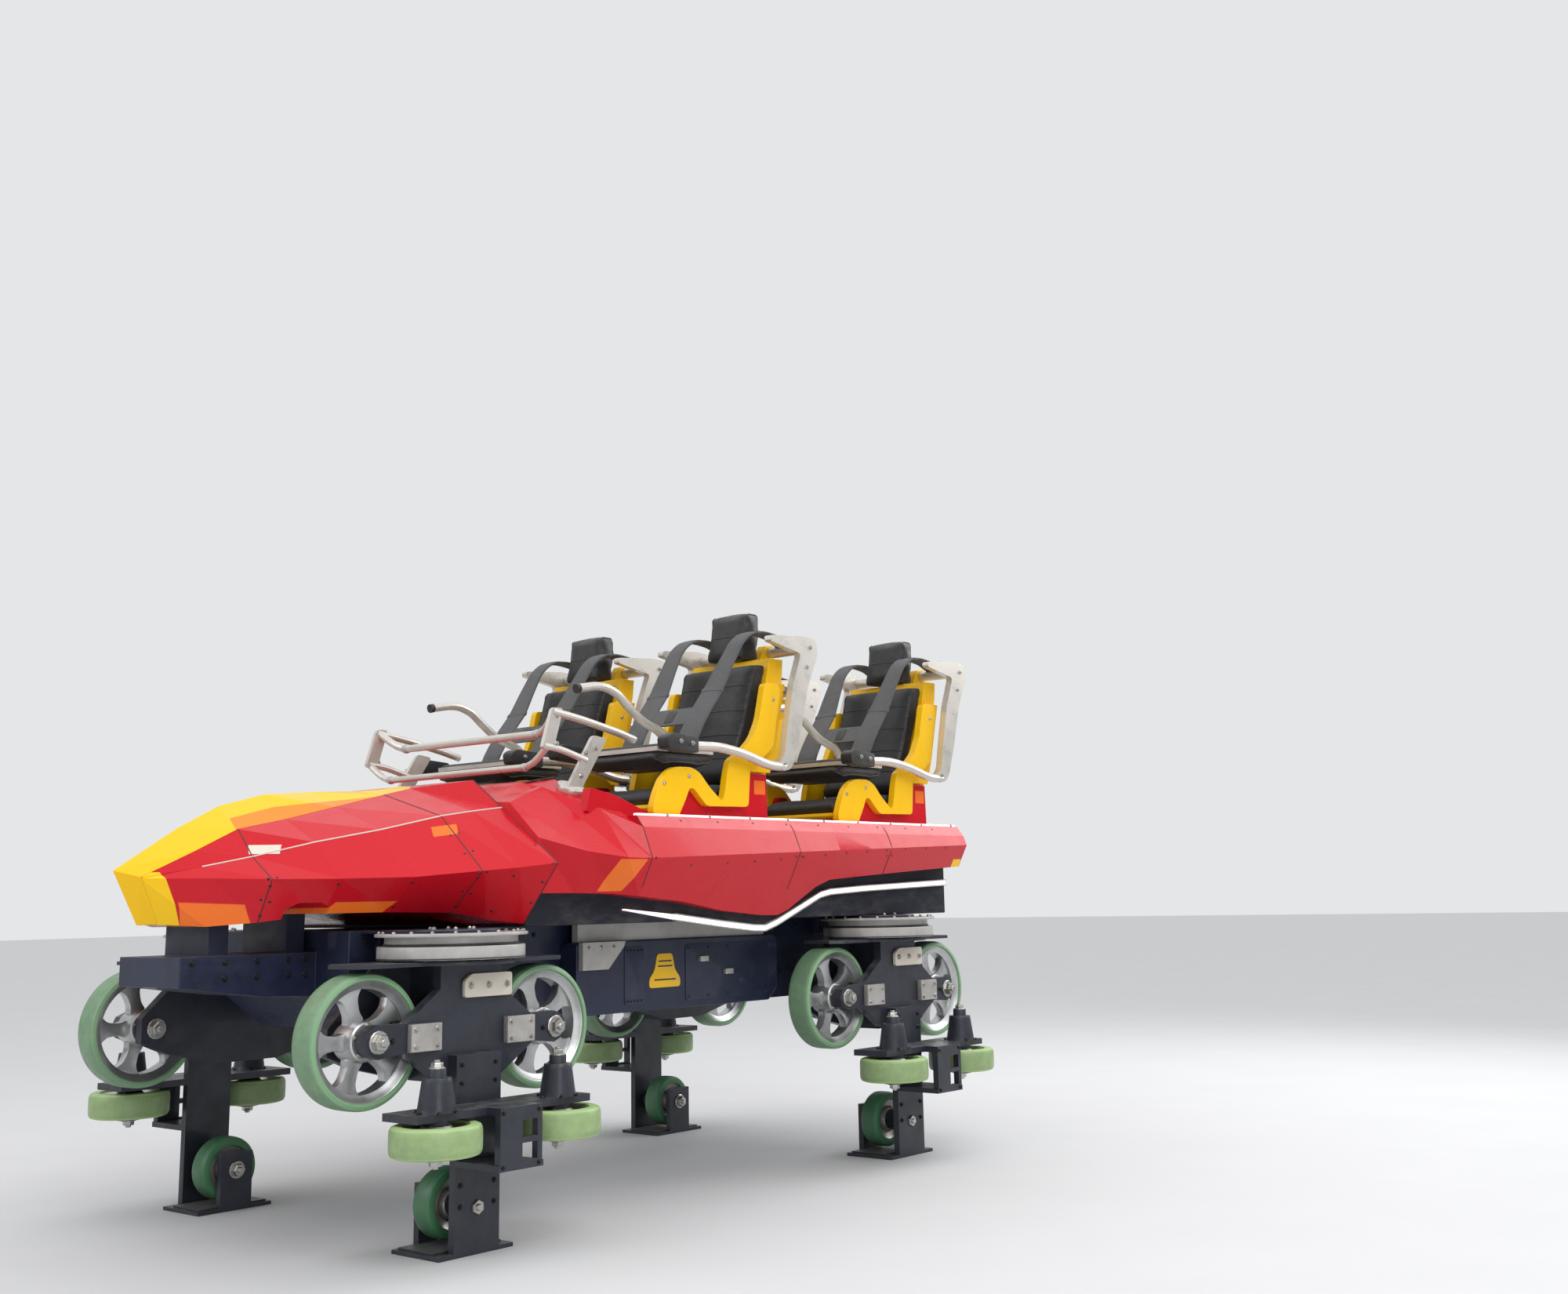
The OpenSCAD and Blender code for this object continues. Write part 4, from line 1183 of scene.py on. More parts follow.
@dataclass
class Carrier:
    """Fittings on one wheel carrier."""

    shop: Workshop
    bolts: Fasteners
    to: Matrix
    tail: str
    axle_x: float = 340.0
    guide_x: float = 232.0
    guide_y: float = 230.0
    stop_z: float = -298.0

    def build(self) -> None:
        """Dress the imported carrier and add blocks, nuts and bolts."""
        body = f"carrier_{self.tail}"
        rig = Rig(self.shop, self.bolts, self.to, body, "carrier_steel")
        self.shop.dress(body, CARRIER, 3.0)
        out, into, up, down = (0, 1, 0), (0, -1, 0), (0, 0, 1), (0, 0, -1)
        blocks = []
        for step in (1, -1):
            low, high = sorted((step * 126, step * 238))
            axle, guide = step * self.axle_x, step * self.guide_x
            blocks.append(box((low, 98, 158), (high, 120, 238)))
            rig.heads(Head.HEX, ZINC, out, 8.5,
                      [(step * x, 120, z) for x in (142, 222) for z in (174, 222)])
            rig.heads(Head.HEX, ZINC, out, 34, [(axle, 100, 194)])
            rig.heads(Head.HEX, ZINC, into, 34, [(axle, -108, 194)])
            rig.heads(Head.HEX, BLACKED, out, 10,
                      [(step * x, 98, z) for x, z in ((290, 194), (60, 100))])
            rig.ring(Head.HEX, BLACKED, up, 7, (guide, self.guide_y, 0), 62, 6)
            rig.heads(Head.HEX, ZINC, up, 24, [(guide, self.guide_y, 120)])
            rig.heads(Head.HEX, ZINC, down, 26, [(guide, self.guide_y, -129)])
        rig.piece(f"{body}_blocks", BLOCK, *blocks, bevel=4.0)
        knuckle = rounded([(-149, 302), (37, 302), (37, 352), (10, 372), (-149, 372)], 10, 3, True)
        rig.piece(f"{body}_knuckle", CREAM, upright(knuckle, 98, 112), bevel=3.0)
        rig.heads(Head.HEX, ZINC, out, 11, [(x, 112, 337) for x in (-128, -56, 14)])
        rig.heads(Head.HEX, BLACKED, out, 9,
                  [(x, 138, z) for x in (-64, 64) for z in (-230, -290, 60, 112)])
        rig.heads(Head.HEX, BLACKED, out, 8, [(x, 330, z) for x in (-68, 68) for z in (-14, -164)])
        rig.heads(Head.HEX, ZINC, out, 30, [(0, 125, self.stop_z)])
        rig.heads(Head.HEX, ZINC, into, 30, [(0, -80, self.stop_z)])
        rig.piece(f"{body}_wear_strip", PIPING, box((-128, -66, -418), (128, 96, -412)), bevel=1.5)


@dataclass
class Running:
    """Slewing rings, chassis, boxes and drawbar."""

    shop: Workshop
    bolts: Fasteners
    car: Car
    lids = ((1712, 1812), (2030, 2500))
    hitch_s = 3560.0
    rear_s = 3455.0

    def rings(self) -> None:
        """Dress the slewing rings and bolt them round."""
        self.shop.dress("slewing_rings", RING, 2.5)
        for end in End:
            for side in Side:
                rig = Rig(self.shop, self.bolts, self.car.carrier(end, side), slot="ring_steel")
                rig.ring(Head.HEX, ZINC, (0, 0, 1), 8, (0, 0, 494), 219, 20)
                rig.ring(Head.BUTTON, BLACKED, (0, 0, -1), 6, (0, 0, 416), 214, 24)
                rig.ring(Head.HEX, ZINC, (0, 0, 1), 9, (0, 0, 504), 70, 6)
                lip = lathe([(225.0, 418), (227.5, 419), (227.5, 421), (225.0, 422)], 96)
                seal = lathe([(203, 456), (206.5, 456), (207.5, 460), (206.5, 464), (203, 464)], 96)
                rig.piece(f"ring_seal_{end.word}_{side.word}", PIPING, lip, seal)

    def boxes(self, side: Side) -> None:
        """Add the blank mark, lids, tabs and bolts on one side."""
        rig = Rig(self.shop, self.bolts, self.car.along(side))
        bell = rounded([(1838, 268), (2000, 268), (2000, 300), (1972, 330), (1958, 388),
                        (1880, 388), (1866, 330), (1838, 300)], 12, 3, True)
        slots = [box((s, 426, h), (s + w, 428.6, h + 7))
                 for s, w, h in ((1862, 114, 292), (1880, 78, 340), (1884, 70, 358))]
        self.shop.piece(f"box_mark_{side.word}", [
            (upright(bell, 424, 428).moved(rig.to), MARK), (union(slots).moved(rig.to), NAVY)],
            "car", "navy_steel", bevel=0.8)
        rig.piece(f"box_lids_{side.word}", NAVY, *[
            upright(rounded([(a, 214), (b, 214), (b, 418), (a, 418)], 16, 4, True), 424, 427.5)
            for a, b in self.lids], bevel=1.0)
        rig.piece(f"box_tabs_{side.word}", BLOCK, *[
            box((s, 425, h), (s + 46, 440, h + 20)) for s, h in ((2100, 352), (2240, 300))],
            bevel=2.5)
        out = (0, 1, 0)
        rig.heads(Head.BUTTON, BLACKED, out, 5.5, [
            (a + 14 + i * (b - a - 28) / 4, 427.5, h)
            for a, b in self.lids for h in (228, 404) for i in range(5)])
        rig.heads(Head.HEX, ZINC, out, 9, [(s, 447, 420) for s in (1520, 1580, 1640)])
        rig.heads(Head.HEX, BLACKED, out, 10, [
            (s, 170, h) for s in (170, 280, 390, 500, 560) for h in (372, 420)
            if h > 380 or s > 250])
        rig.heads(Head.HEX, BLACKED, out, 10, [
            (s, 340, h) for s in (660, 700, 960, 1040, 1120, 1240, 1360, 2680, 2780, 3220, 3320,
                                  3420) for h in (290, 470)])

    def build(self) -> None:
        """Dress and fit rings, chassis, boxes and drawbar."""
        self.rings()
        for node, finish, bevel in (("chassis_frame", NAVY, 3.0), ("equipment_boxes", NAVY, 5.0),
                                    ("side_brackets", RING, 2.0), ("drawbar", COUPLER, 3.0)):
            self.shop.dress(node, finish, bevel)
        for side in Side:
            self.boxes(side)
        hitch = Rig(self.shop, self.bolts, self.car.along(Side.LEFT, self.hitch_s))
        hitch.heads(Head.HEX, ZINC, (0, 0, 1), 26, [(0, 0, 414)])
        hitch.heads(Head.HEX, ZINC, (0, 0, -1), 26, [(0, 0, 296)])
        rear = Rig(self.shop, self.bolts, self.car.along(Side.LEFT, self.rear_s))
        rear.heads(Head.HEX, BLACKED, (1, 0, 0), 11,
                   [(0, y, h) for y in (-300, -220, 220, 300) for h in (330, 400, 470)])


class Surface:
    """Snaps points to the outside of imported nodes."""

    def __init__(self, shop: Workshop, *names: str) -> None:
        """Gather the nodes' meshes into one search tree."""
        points, faces = [], []
        for name in names:
            mesh = shop.nodes[name].data
            start = len(points)
            points += [v.co.copy() for v in mesh.vertices]
            faces += [tuple(i + start for i in p.vertices) for p in mesh.polygons]
        self.tree = BVHTree.FromPolygons(points, faces)

    def trail(self, points: Sequence[Vector], step: float) -> list[tuple[Vector, Vector]]:
        """Walk a path in equal steps and snap each one.

        Args:
            points: Corners of the path.
            step: Length of a step in metres.

        Returns:
            Place on the surface and normal of each step.
        """
        out = []
        for a, b in zip(points, points[1:]):
            count = max(1, round((b - a).length / step))
            out += [a.lerp(b, i / count) for i in range(count)]
        return [self.tree.find_nearest(p)[:2] for p in (*out, points[-1])]

    def bead(self, points: Sequence[Vector], width: float = 1.6) -> Shape:
        """Lay a half-sunk bead along a path: sealant in a seam, or a pale line of painted
        highlight.
        """
        return sweep([p for p, _ in self.trail(points, 30 * MM)], circle(width * MM, 8))

    def studs(self, points: Sequence[Vector], step: float, radius: float = 4.5) -> list[Spot]:
        """Set flush screws along a path, their spacing and radius in millimetres."""
        return [Spot(p, n, radius * MM) for p, n in self.trail(points, step * MM)[1:-1]]


@dataclass
class Body:
    """Nose, panels, cowl, tub and lit strips."""

    shop: Workshop
    bolts: Fasteners
    car: Car

    # Stations of the fairing: nose point, lag of its lowest edge, then half width and height of
    # the band's edge, the crease, the waist and the lowest edge.
    nose = (
        (58, 72, 60, 676, 59.5, 672, 59, 668, 42, 536),
        (205, 15, 100, 752, 140, 705, 190, 669, 150, 527),
        (340, 0, 115, 821, 200, 734, 310, 664, 240, 536),
        (500, 0, 125, 854, 290, 777, 430, 662, 340, 559),
        (680, 0, 135, 898, 380, 815, 560, 664, 430, 559),
        (860, 0, 150, 943, 450, 859, 660, 680, 510, 553),
        (960, 0, 160, 967, 480, 875, 715, 689, 560, 531),
        (1065, 0, 360, 988, 508, 889, 780, 702, 620, 513))
    seam_rings = (2, 5, 7)
    panel_joints = (1495, 2304, 2900)
    low_strip = ((1745, 512), (1993, 482), (2167, 464), (2234, 462), (2303, 481), (2446, 534),
                 (2569, 580), (2634, 591), (2849, 602), (3292, 618), (3440, 623))
    wells = (("front", 1110, 1640), ("rear", 2324, 2696))

    def corner(self, ring: int, edge: int, side: Side) -> Vector:
        """Point of the fairing: its ring, and which edge from the band down."""
        n = self.nose[ring]
        lag = (n[3] - n[3 + 2 * edge]) / (n[3] - n[9]) * n[1]
        return self.car.spot(n[0] + lag, side.value * n[2 + 2 * edge], n[3 + 2 * edge])

    def rig(self, side: Side, slot: str, s: float = 0.0) -> Rig:
        """Rig of one side, in millimetres back from a station, out and up."""
        return Rig(self.shop, self.bolts, self.car.along(side, s), "car", slot)

    def fairing(self) -> None:
        """Dress the nose and its band, with seams, screws, painted shade on the band's lower part,
        a painted highlight on the nose and a pale line of painted highlight along the crease.
        """
        flat = self.car.flat
        # The darker orange over the band's lower part is painted shade where the band turns down.
        low = Patch((0.90, 0.24, 0.012), flat((1050, 880), (330, 780), (340, 856), (500, 897),
                                              (1050, 962)))
        patches = (Patch(AMBER, flat((176, 520), (60, 520), (60, 690), (104, 690))),
                   Patch(ORANGE, flat((330, 520), (176, 520), (150, 600), (300, 590))),
                   Patch(ORANGE, flat((640, 520), (470, 520), (520, 592), (680, 592))),
                   # Pale patch just above the crease: painted highlight.
                   Patch(PALE_HIGHLIGHT, flat((404, 742), (334, 742), (344, 770), (420, 770))),
                   Patch(ORANGE, flat((870, 800), (800, 790), (812, 822), (884, 832))))
        self.shop.dress("nose_shell", replace(RED, name="nose_red", patches=patches), 4.0)
        self.shop.dress("nose_band", replace(YELLOW, name="band_yellow", patches=(low,)), 4.0)
        outside = Surface(self.shop, "nose_shell", "nose_band", "front_cowl", "side_panel_left",
                          "side_panel_right")
        seams, crease_highlight, screws = [], [], []
        for side in Side:
            for ring in self.seam_rings:
                seams.append(outside.bead([self.corner(ring, e, side) for e in range(4)]))
            # Pale cream line along the crease: painted highlight.
            crease_highlight.append(outside.bead([self.corner(r, 1, side) for r in range(1, 8)], 2.6))
            for edge, inward in ((3, 2), (2, 3)):
                screws += outside.studs([self.corner(r, edge, side).lerp(
                    self.corner(r, inward, side), 0.16) for r in range(1, 8)], 150, 5.0)
            for ring in self.seam_rings:
                for shift in (-16, 16):
                    if ring < 7 or shift > 0:
                        screws += outside.studs([
                            self.corner(ring, e, side) + Vector((shift * MM, 0, 0))
                            for e in (1, 2, 3)], 95)
        self.bolts.add("car", Head.RIVET, BLACKED, screws)
        self.shop.piece("nose_seams", [(union(seams), CLAMP)], "car", "red_gloss")
        # The cream line along the crease is painted highlight.
        self.shop.piece("nose_stripe", [(union(crease_highlight), CREAM)], "car", "cream_paint")

    def panels(self) -> None:
        """Dress the side panels and the cowl, with joints, lids and screws."""
        patches = (Patch(ORANGE, self.car.flat((1420, 612), (1330, 612), (1366, 716), (1478, 716))),
                   Patch(AMBER, self.car.flat((3452, 694), (3392, 694), (3392, 728), (3452, 728))))
        red = replace(RED, name="panel_red", patches=patches)
        for side in Side:
            self.shop.dress(f"side_panel_{side.word}", red, 5.0)
        self.shop.dress("front_cowl", replace(RED, name="cowl_red"), 9.0)
        outside = Surface(self.shop, "side_panel_left", "side_panel_right", "front_cowl")
        seams, screws = [], []
        for side in Side:

            def line(*points: Point) -> list[Vector]:
                """Frame points on this side."""
                return [self.car.spot(s, side.value * y, h) for s, y, h in points]

            for s in self.panel_joints:
                seams.append(outside.bead(line((s, 698, 866), (s, 735, 826), (s, 779, 720),
                                               (s, 700, 610))))
                for at in (s - 18, s + 18):
                    screws += outside.studs(line((at, 735, 815), (at, 779, 720), (at, 735, 640)),
                                            80)
            screws += outside.studs(line(*((s, 765, h) for s, h in (
                (1510, 690), (1900, 700), (2200, 715), (2600, 742), (3000, 760),
                (3440, 770)))), 160)
            screws += outside.studs(line((1510, 716, 852), (3440, 716, 852)), 200)
        self.bolts.add("car", Head.RIVET, BLACKED, screws)
        self.shop.piece("panel_seams", [(union(seams), CLAMP)], "car", "red_gloss")
        for side in Side:
            to = self.car.along(side)
            lip = sweep([to @ Vector(p) for p in
                         ((1250, 408, 983), (1320, 404, 998), (1389, 402, 1005), (1440, 410, 995),
                          (1492, 420, 985))], circle(3.0 * MM, 10))
            self.shop.piece(f"cowl_trim_{side.word}", [(lip, CLAMP)], "car", "red_gloss")

    def tub(self) -> None:
        """Dress the tub, lay ribbed mats in its foot wells and bolt a plate on its back."""
        self.shop.dress("body_tub", TUB, 5.0)
        rig = self.rig(Side.LEFT, "tub_dark")
        for name, s0, s1 in self.wells:
            rig.piece(f"mat_{name}", MAT, box((s0, -585, 518.2), (s1, 585, 521)), bevel=0.6)
            rib = box((s0 + 12, -570, 520.5), (s1 - 12, -561, 523.6))
            self.shop.row(f"mat_ribs_{name}", rib.moved(rig.to), MAT, 48, Vector((0, 24 * MM, 0)),
                          "car", "tub_dark")
        rear = self.rig(Side.LEFT, "tub_dark", 3455)
        panel = prism(rounded([(-560, 540), (560, 540), (560, 840), (-560, 840)], 40, 5, True),
                      0, 3)
        stand = Matrix(((0, 0, 1, 0), (1, 0, 0, 0), (0, 1, 0, 0), (0, 0, 0, 1)))
        rear.piece("rear_plate", NAVY, panel.moved(stand), bevel=1.2)
        edge = [(3, y, h) for y in range(-540, 541, 180) for h in (560, 820)]
        rear.heads(Head.BUTTON, ZINC, (1, 0, 0), 6, [*edge, (3, -540, 690), (3, 540, 690)])

    def clips(self, side: Side) -> None:
        """Add clip channels beside the lit strips."""
        rig = self.rig(side, "strip_light")
        flange = [(-9, -2), (9, -2), (9, 2), (-9, 2)]
        rig.piece(f"strip_channel_{side.word}", BLOCK, *[
            sweep([Vector((s, 638, h + up)) for s, h in self.low_strip], flange)
            for up in (-2, 20)], bevel=0.5)
        clip = box((1640, 685, 865.5), (1652, 706.5, 875.5))
        self.shop.row(f"strip_clips_{side.word}", clip.moved(rig.to), BLOCK, 9,
                      Vector((-220 * MM, 0, 0)), "car", "strip_light", 1.0)

    def collars(self, side: Side) -> None:
        """Add collars and bolts on the grab rail."""
        rig = self.rig(side, "cream_paint")
        rig.heads(Head.HEX, ZINC, (0, 1, 0), 9, [
            (s, 498, h) for s, h in ((1316, 1212), (1316, 1116), (1452, 1092), (1430, 1010),
                                     (1500, 1110))])
        collars = []
        for s, y, h, r in ((1345, 366, 1160, 14), (1282, 371, 1040, 12)):
            ring = lathe([(r - 1, -9), (r + 2.2, -8), (r + 3, 0), (r + 2.2, 8), (r - 1, 9)], 32)
            collars.append(along_y(ring).at(s, y, h))
        rig.piece(f"rail_collars_{side.word}", BLOCK, *collars)

    def build(self) -> None:
        """Build all of it."""
        self.fairing()
        self.panels()
        self.tub()
        self.shop.dress("light_strips", STRIP, 2.0)
        for side in Side:
            self.clips(side)
        self.shop.dress("grab_rail", SILVER, 5.0)
        for side in Side:
            self.collars(side)


@dataclass(frozen=True)
class Cushion:
    """Foam pad that a short cloth run swells.

    Attributes:
        outline: Its side outline in millimetres.
        half: Half of its width in millimetres.
        face: First and last corner of the outline that the welts cross.
        welts: Where welts lie along that face, from 0 to 1.
        voxel: Cell of the remesh in millimetres.
        cap: How far a point may move in millimetres.
        pressure: Pressure of the cloth run.
    """

    outline: tuple[Flat, ...]
    half: float
    face: tuple[int, int]
    welts: tuple[float, ...]
    voxel: float = 12.5
    cap: float = 10.0
    pressure: float = 4.0

    def form(self) -> Shape:
        """Slightly smaller shape, in metres, that the cloth run starts from."""
        middle = sum((Vector(p) for p in self.outline), Vector((0, 0))) / len(self.outline)
        inner = []
        for p in self.outline:
            to_mid = middle - Vector(p)
            inner.append(Vector(p) + to_mid.normalized() * min(6.0, to_mid.length * 0.2))
        rings = []
        for y, shrink in ((-1.0, 8.0), (-0.94, 1.5), (-0.80, 0.0), (0.80, 0.0), (0.94, 1.5),
                          (1.0, 8.0)):
            ring = []
            for p in inner:
                q = p + (middle - p).normalized() * shrink
                ring.append(Vector((q.x, y * (self.half - 5), q.y)) * MM)
            rings.append(ring)
        return skin(rings)


SQUAB = Cushion(((66, 913), (60, 934), (74, 958), (120, 966), (400, 962), (448, 972), (478, 1004),
                 (500, 1000), (516, 960), (498, 913)), 197, (3, 4), (0.33, 0.66))
BACK = Cushion(((474, 1010), (522, 1090), (578, 1220), (624, 1350), (657, 1450), (669, 1487),
                (730, 1487), (702, 1390), (660, 1260), (610, 1130), (556, 1006), (520, 962),
                (500, 972)), 197, (0, 5), (0.2, 0.4, 0.6, 0.8))
HEADREST = Cushion(((690, 1501), (698, 1560), (706, 1620), (724, 1698), (760, 1700), (798, 1699),
                    (810, 1620), (798, 1556), (786, 1501)), 99, (0, 3), (0.5,), 9.0, 8.0)
LAP_PAD = Cushion(((446, -442), (600, -441), (770, -442), (792, -456), (787, -474), (740, -487),
                   (630, -486), (520, -485), (458, -470)), 204, (4, 6), (0.5,), 11.5, 8.0)


class Upholstery:
    """One swelled cushion, copied into place with its piping."""

    def __init__(self, shop: Workshop, name: str, cushion: Cushion) -> None:
        """Swell the cushion once."""
        self.shop, self.cushion = shop, cushion
        self.mesh = self.swell(name)
        LOG.info("%s: %d points", name, len(self.mesh.vertices))

    @staticmethod
    def baked(obj: bpy.types.Object) -> bpy.types.Mesh:
        """Return the object's mesh with its modifiers applied."""
        bpy.context.view_layer.update()
        ready = obj.evaluated_get(bpy.context.evaluated_depsgraph_get())
        return bpy.data.meshes.new_from_object(ready)

    def swell(self, name: str) -> bpy.types.Mesh:
        cushion = self.cushion
        obj = self.shop.mesh(name, [(cushion.form(), PAD)])
        cells = obj.modifiers.new("cells", "REMESH")
        cells.mode, cells.voxel_size, cells.use_smooth_shade = "VOXEL", cushion.voxel * MM, True
        solid = self.baked(obj)
        obj.modifiers.clear()
        obj.data = solid
        rest = [v.co.copy() for v in solid.vertices]
        cloth = obj.modifiers.new("air", "CLOTH")
        air = cloth.settings
        air.use_pressure, air.uniform_pressure_force = True, cushion.pressure
        air.effector_weights.gravity, air.quality = 0.0, 4
        air.tension_stiffness = air.compression_stiffness = 12.0
        cloth.collision_settings.use_collision = False
        for step in range(1, 21):
            bpy.context.scene.frame_set(step)
        ready = obj.evaluated_get(bpy.context.evaluated_depsgraph_get())
        puffed = [v.co.copy() for v in ready.to_mesh().vertices]
        ready.to_mesh_clear()
        obj.modifiers.clear()
        for vertex, old, new in zip(solid.vertices, rest, puffed):
            move = new - old
            vertex.co = old + move * min(1.0, cushion.cap * MM / max(move.length, 1e-9))
        bpy.context.scene.frame_set(1)
        smooth = obj.modifiers.new("smooth", "SMOOTH")
        smooth.iterations, smooth.factor = 2, 0.4
        mesh = self.baked(obj)
        bpy.data.objects.remove(obj)
        mesh.shade_smooth()
        return mesh

    def put(self, name: str, to: Matrix, body: str, stands_for: Sequence[str] = ()) -> None:
        """Put a copy of the cushion in place.

        Args:
            name: Name of the piece.
            to: Matrix from its millimetres to the frame.
            body: Body that it moves with.
            stands_for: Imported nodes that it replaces.
        """
        data = self.mesh.copy()
        data.transform(to @ Matrix.Diagonal((1 / MM, 1 / MM, 1 / MM, 1)))
        if to.determinant() < 0:
            data.flip_normals()
        data.materials.clear()
        data.materials.append(self.shop.material(PAD))
        data.shade_smooth()
        obj = bpy.data.objects.new(name, data)
        bpy.context.scene.collection.objects.link(obj)
        soft = obj.modifiers.new("soft", "SUBSURF")
        soft.levels = soft.render_levels = 1
        self.shop.enrol(obj, body, "black_pad", stands_for)

    def piping(self) -> list[Shape]:
        """Return piping round the cushion's sides and welts across its face, laid on its mesh."""
        cushion = self.cushion
        tree = BVHTree.FromPolygons([v.co / MM for v in self.mesh.vertices],
                                    [tuple(p.vertices) for p in self.mesh.polygons])

        def laid(points: Sequence[Vector], radius: float) -> Shape:
            """Sweep a cord along the points, pulled onto the mesh."""
            dense = [a.lerp(b, k / 4) for a, b in zip(points, points[1:]) for k in range(4)]
            near = [tree.find_nearest(p)[0] for p in (*dense, points[-1])]
            path = [near[0], *[q for p, q in zip(near, near[1:]) if (q - p).length > 2.0]]
            return sweep(path, circle(radius, 8), side=Vector((0.3, 0.5, 0.8)))

        path = rounded(cushion.outline, 14, 3, True)
        path.append(path[0])
        out = [laid([Vector((p.x, y * (cushion.half - 6), p.y)) for p in path], 3.2)
               for y in (-1, 1)]
        first, last = cushion.face
        face = [Vector(p) for p in cushion.outline[first:last + 1]]
        lengths = [(b - a).length for a, b in zip(face, face[1:])]
        for share in cushion.welts:
            left, spot = share * sum(lengths), face[-1]
            for a, b, size in zip(face, face[1:], lengths):
                if left <= size:
                    spot = a.lerp(b, left / size)
                    break
                left -= size
            out.append(laid([Vector((spot.x, y * cushion.half / 6, spot.y))
                             for y in range(-6, 7)], 2.4))
        return out


@dataclass
class Seats:
    """Seat shells, bases, cushions and headrests."""

    shop: Workshop
    bolts: Fasteners
    car: Car
    cover_low: Vector = field(default_factory=lambda: Vector((697, 0, 1046)))
    cover_high: Vector = field(default_factory=lambda: Vector((801, 0, 1412)))

    def cover(self, tail: str, to: Matrix) -> None:
        """Put a bolted cover with ribs on the back of a shell."""
        rise = self.cover_high - self.cover_low
        run, size = rise.normalized(), rise.length
        turn = Matrix((Vector((0, 1, 0)), run, Vector((run.z, 0, -run.x)))).transposed()
        spot = Matrix.Translation(self.cover_low) @ turn.to_4x4()
        rig = Rig(self.shop, self.bolts, to @ spot, "car", "yellow_gloss")
        outline = rounded([(-165, 0), (165, 0), (165, size), (-165, size)], 34, 5, True)
        rib = prism(rounded([(-120, 60), (120, 60), (120, 76), (-120, 76)], 8, 3, True), 3.5, 9)
        rig.piece(f"back_cover_{tail}", YELLOW, prism(outline, -6, 4), bevel=1.6)
        self.shop.row(f"cover_ribs_{tail}", rib.moved(rig.to), YELLOW, 5,
                      to.to_3x3() @ run * 58, "car", "yellow_gloss", 1.6)
        rig.heads(Head.BUTTON, BLACKED, (0, 0, 1), 6, [
            (x, y, 4) for x in (-148, 148) for y in (18, size / 2, size - 18)])

    def build(self) -> None:
        """Build all four seats."""
        pads = [Upholstery(self.shop, name, cushion) for name, cushion in
                (("squab", SQUAB), ("back", BACK), ("headrest", HEADREST))]
        patches = tuple(
            Patch(ORANGE, self.car.flat(*((s + self.car.row(row), h) for s, h in
                                          ((668, 966), (604, 966), (604, 1018), (668, 1018)))))
            for row in End)
        self.shop.dress("seat_bases", replace(RED, name="base_red", patches=patches), 4.0)
        piping = [shape for pad in pads for shape in pad.piping()]
        for row in End:
            self.shop.dress(f"seat_shells_{row.word}", YELLOW, 11.0)
            for side in Side:
                to = self.car.seat(row, side)
                tail = f"{row.word}_{side.word}"
                for pad, name, stands_for in zip(pads, ("squab", "back_pad", "headrest"),
                                                 ((f"seat_pads_{row.word}",), (), ())):
                    pad.put(f"{name}_{tail}", to, "car", stands_for)
                rig = Rig(self.shop, self.bolts, to, "car", "black_pad")
                rig.piece(f"piping_{tail}", PIPING, *piping)
                self.cover(tail, to)
                for sign in (1, -1):
                    rig.heads(Head.BUTTON, ZINC, (0, sign, 0), 8, [
                        (s, sign * 252, h)
                        for s, h in ((84, 985), (212, 1015), (560, 1095), (690, 1330))])
                for s, h in ((812, 1448), (838, 1500)):
                    for sign in (1, -1):
                        rig.heads(Head.BUTTON, ZINC, (0, sign, 0), 8, [(s, sign * 90, h)])


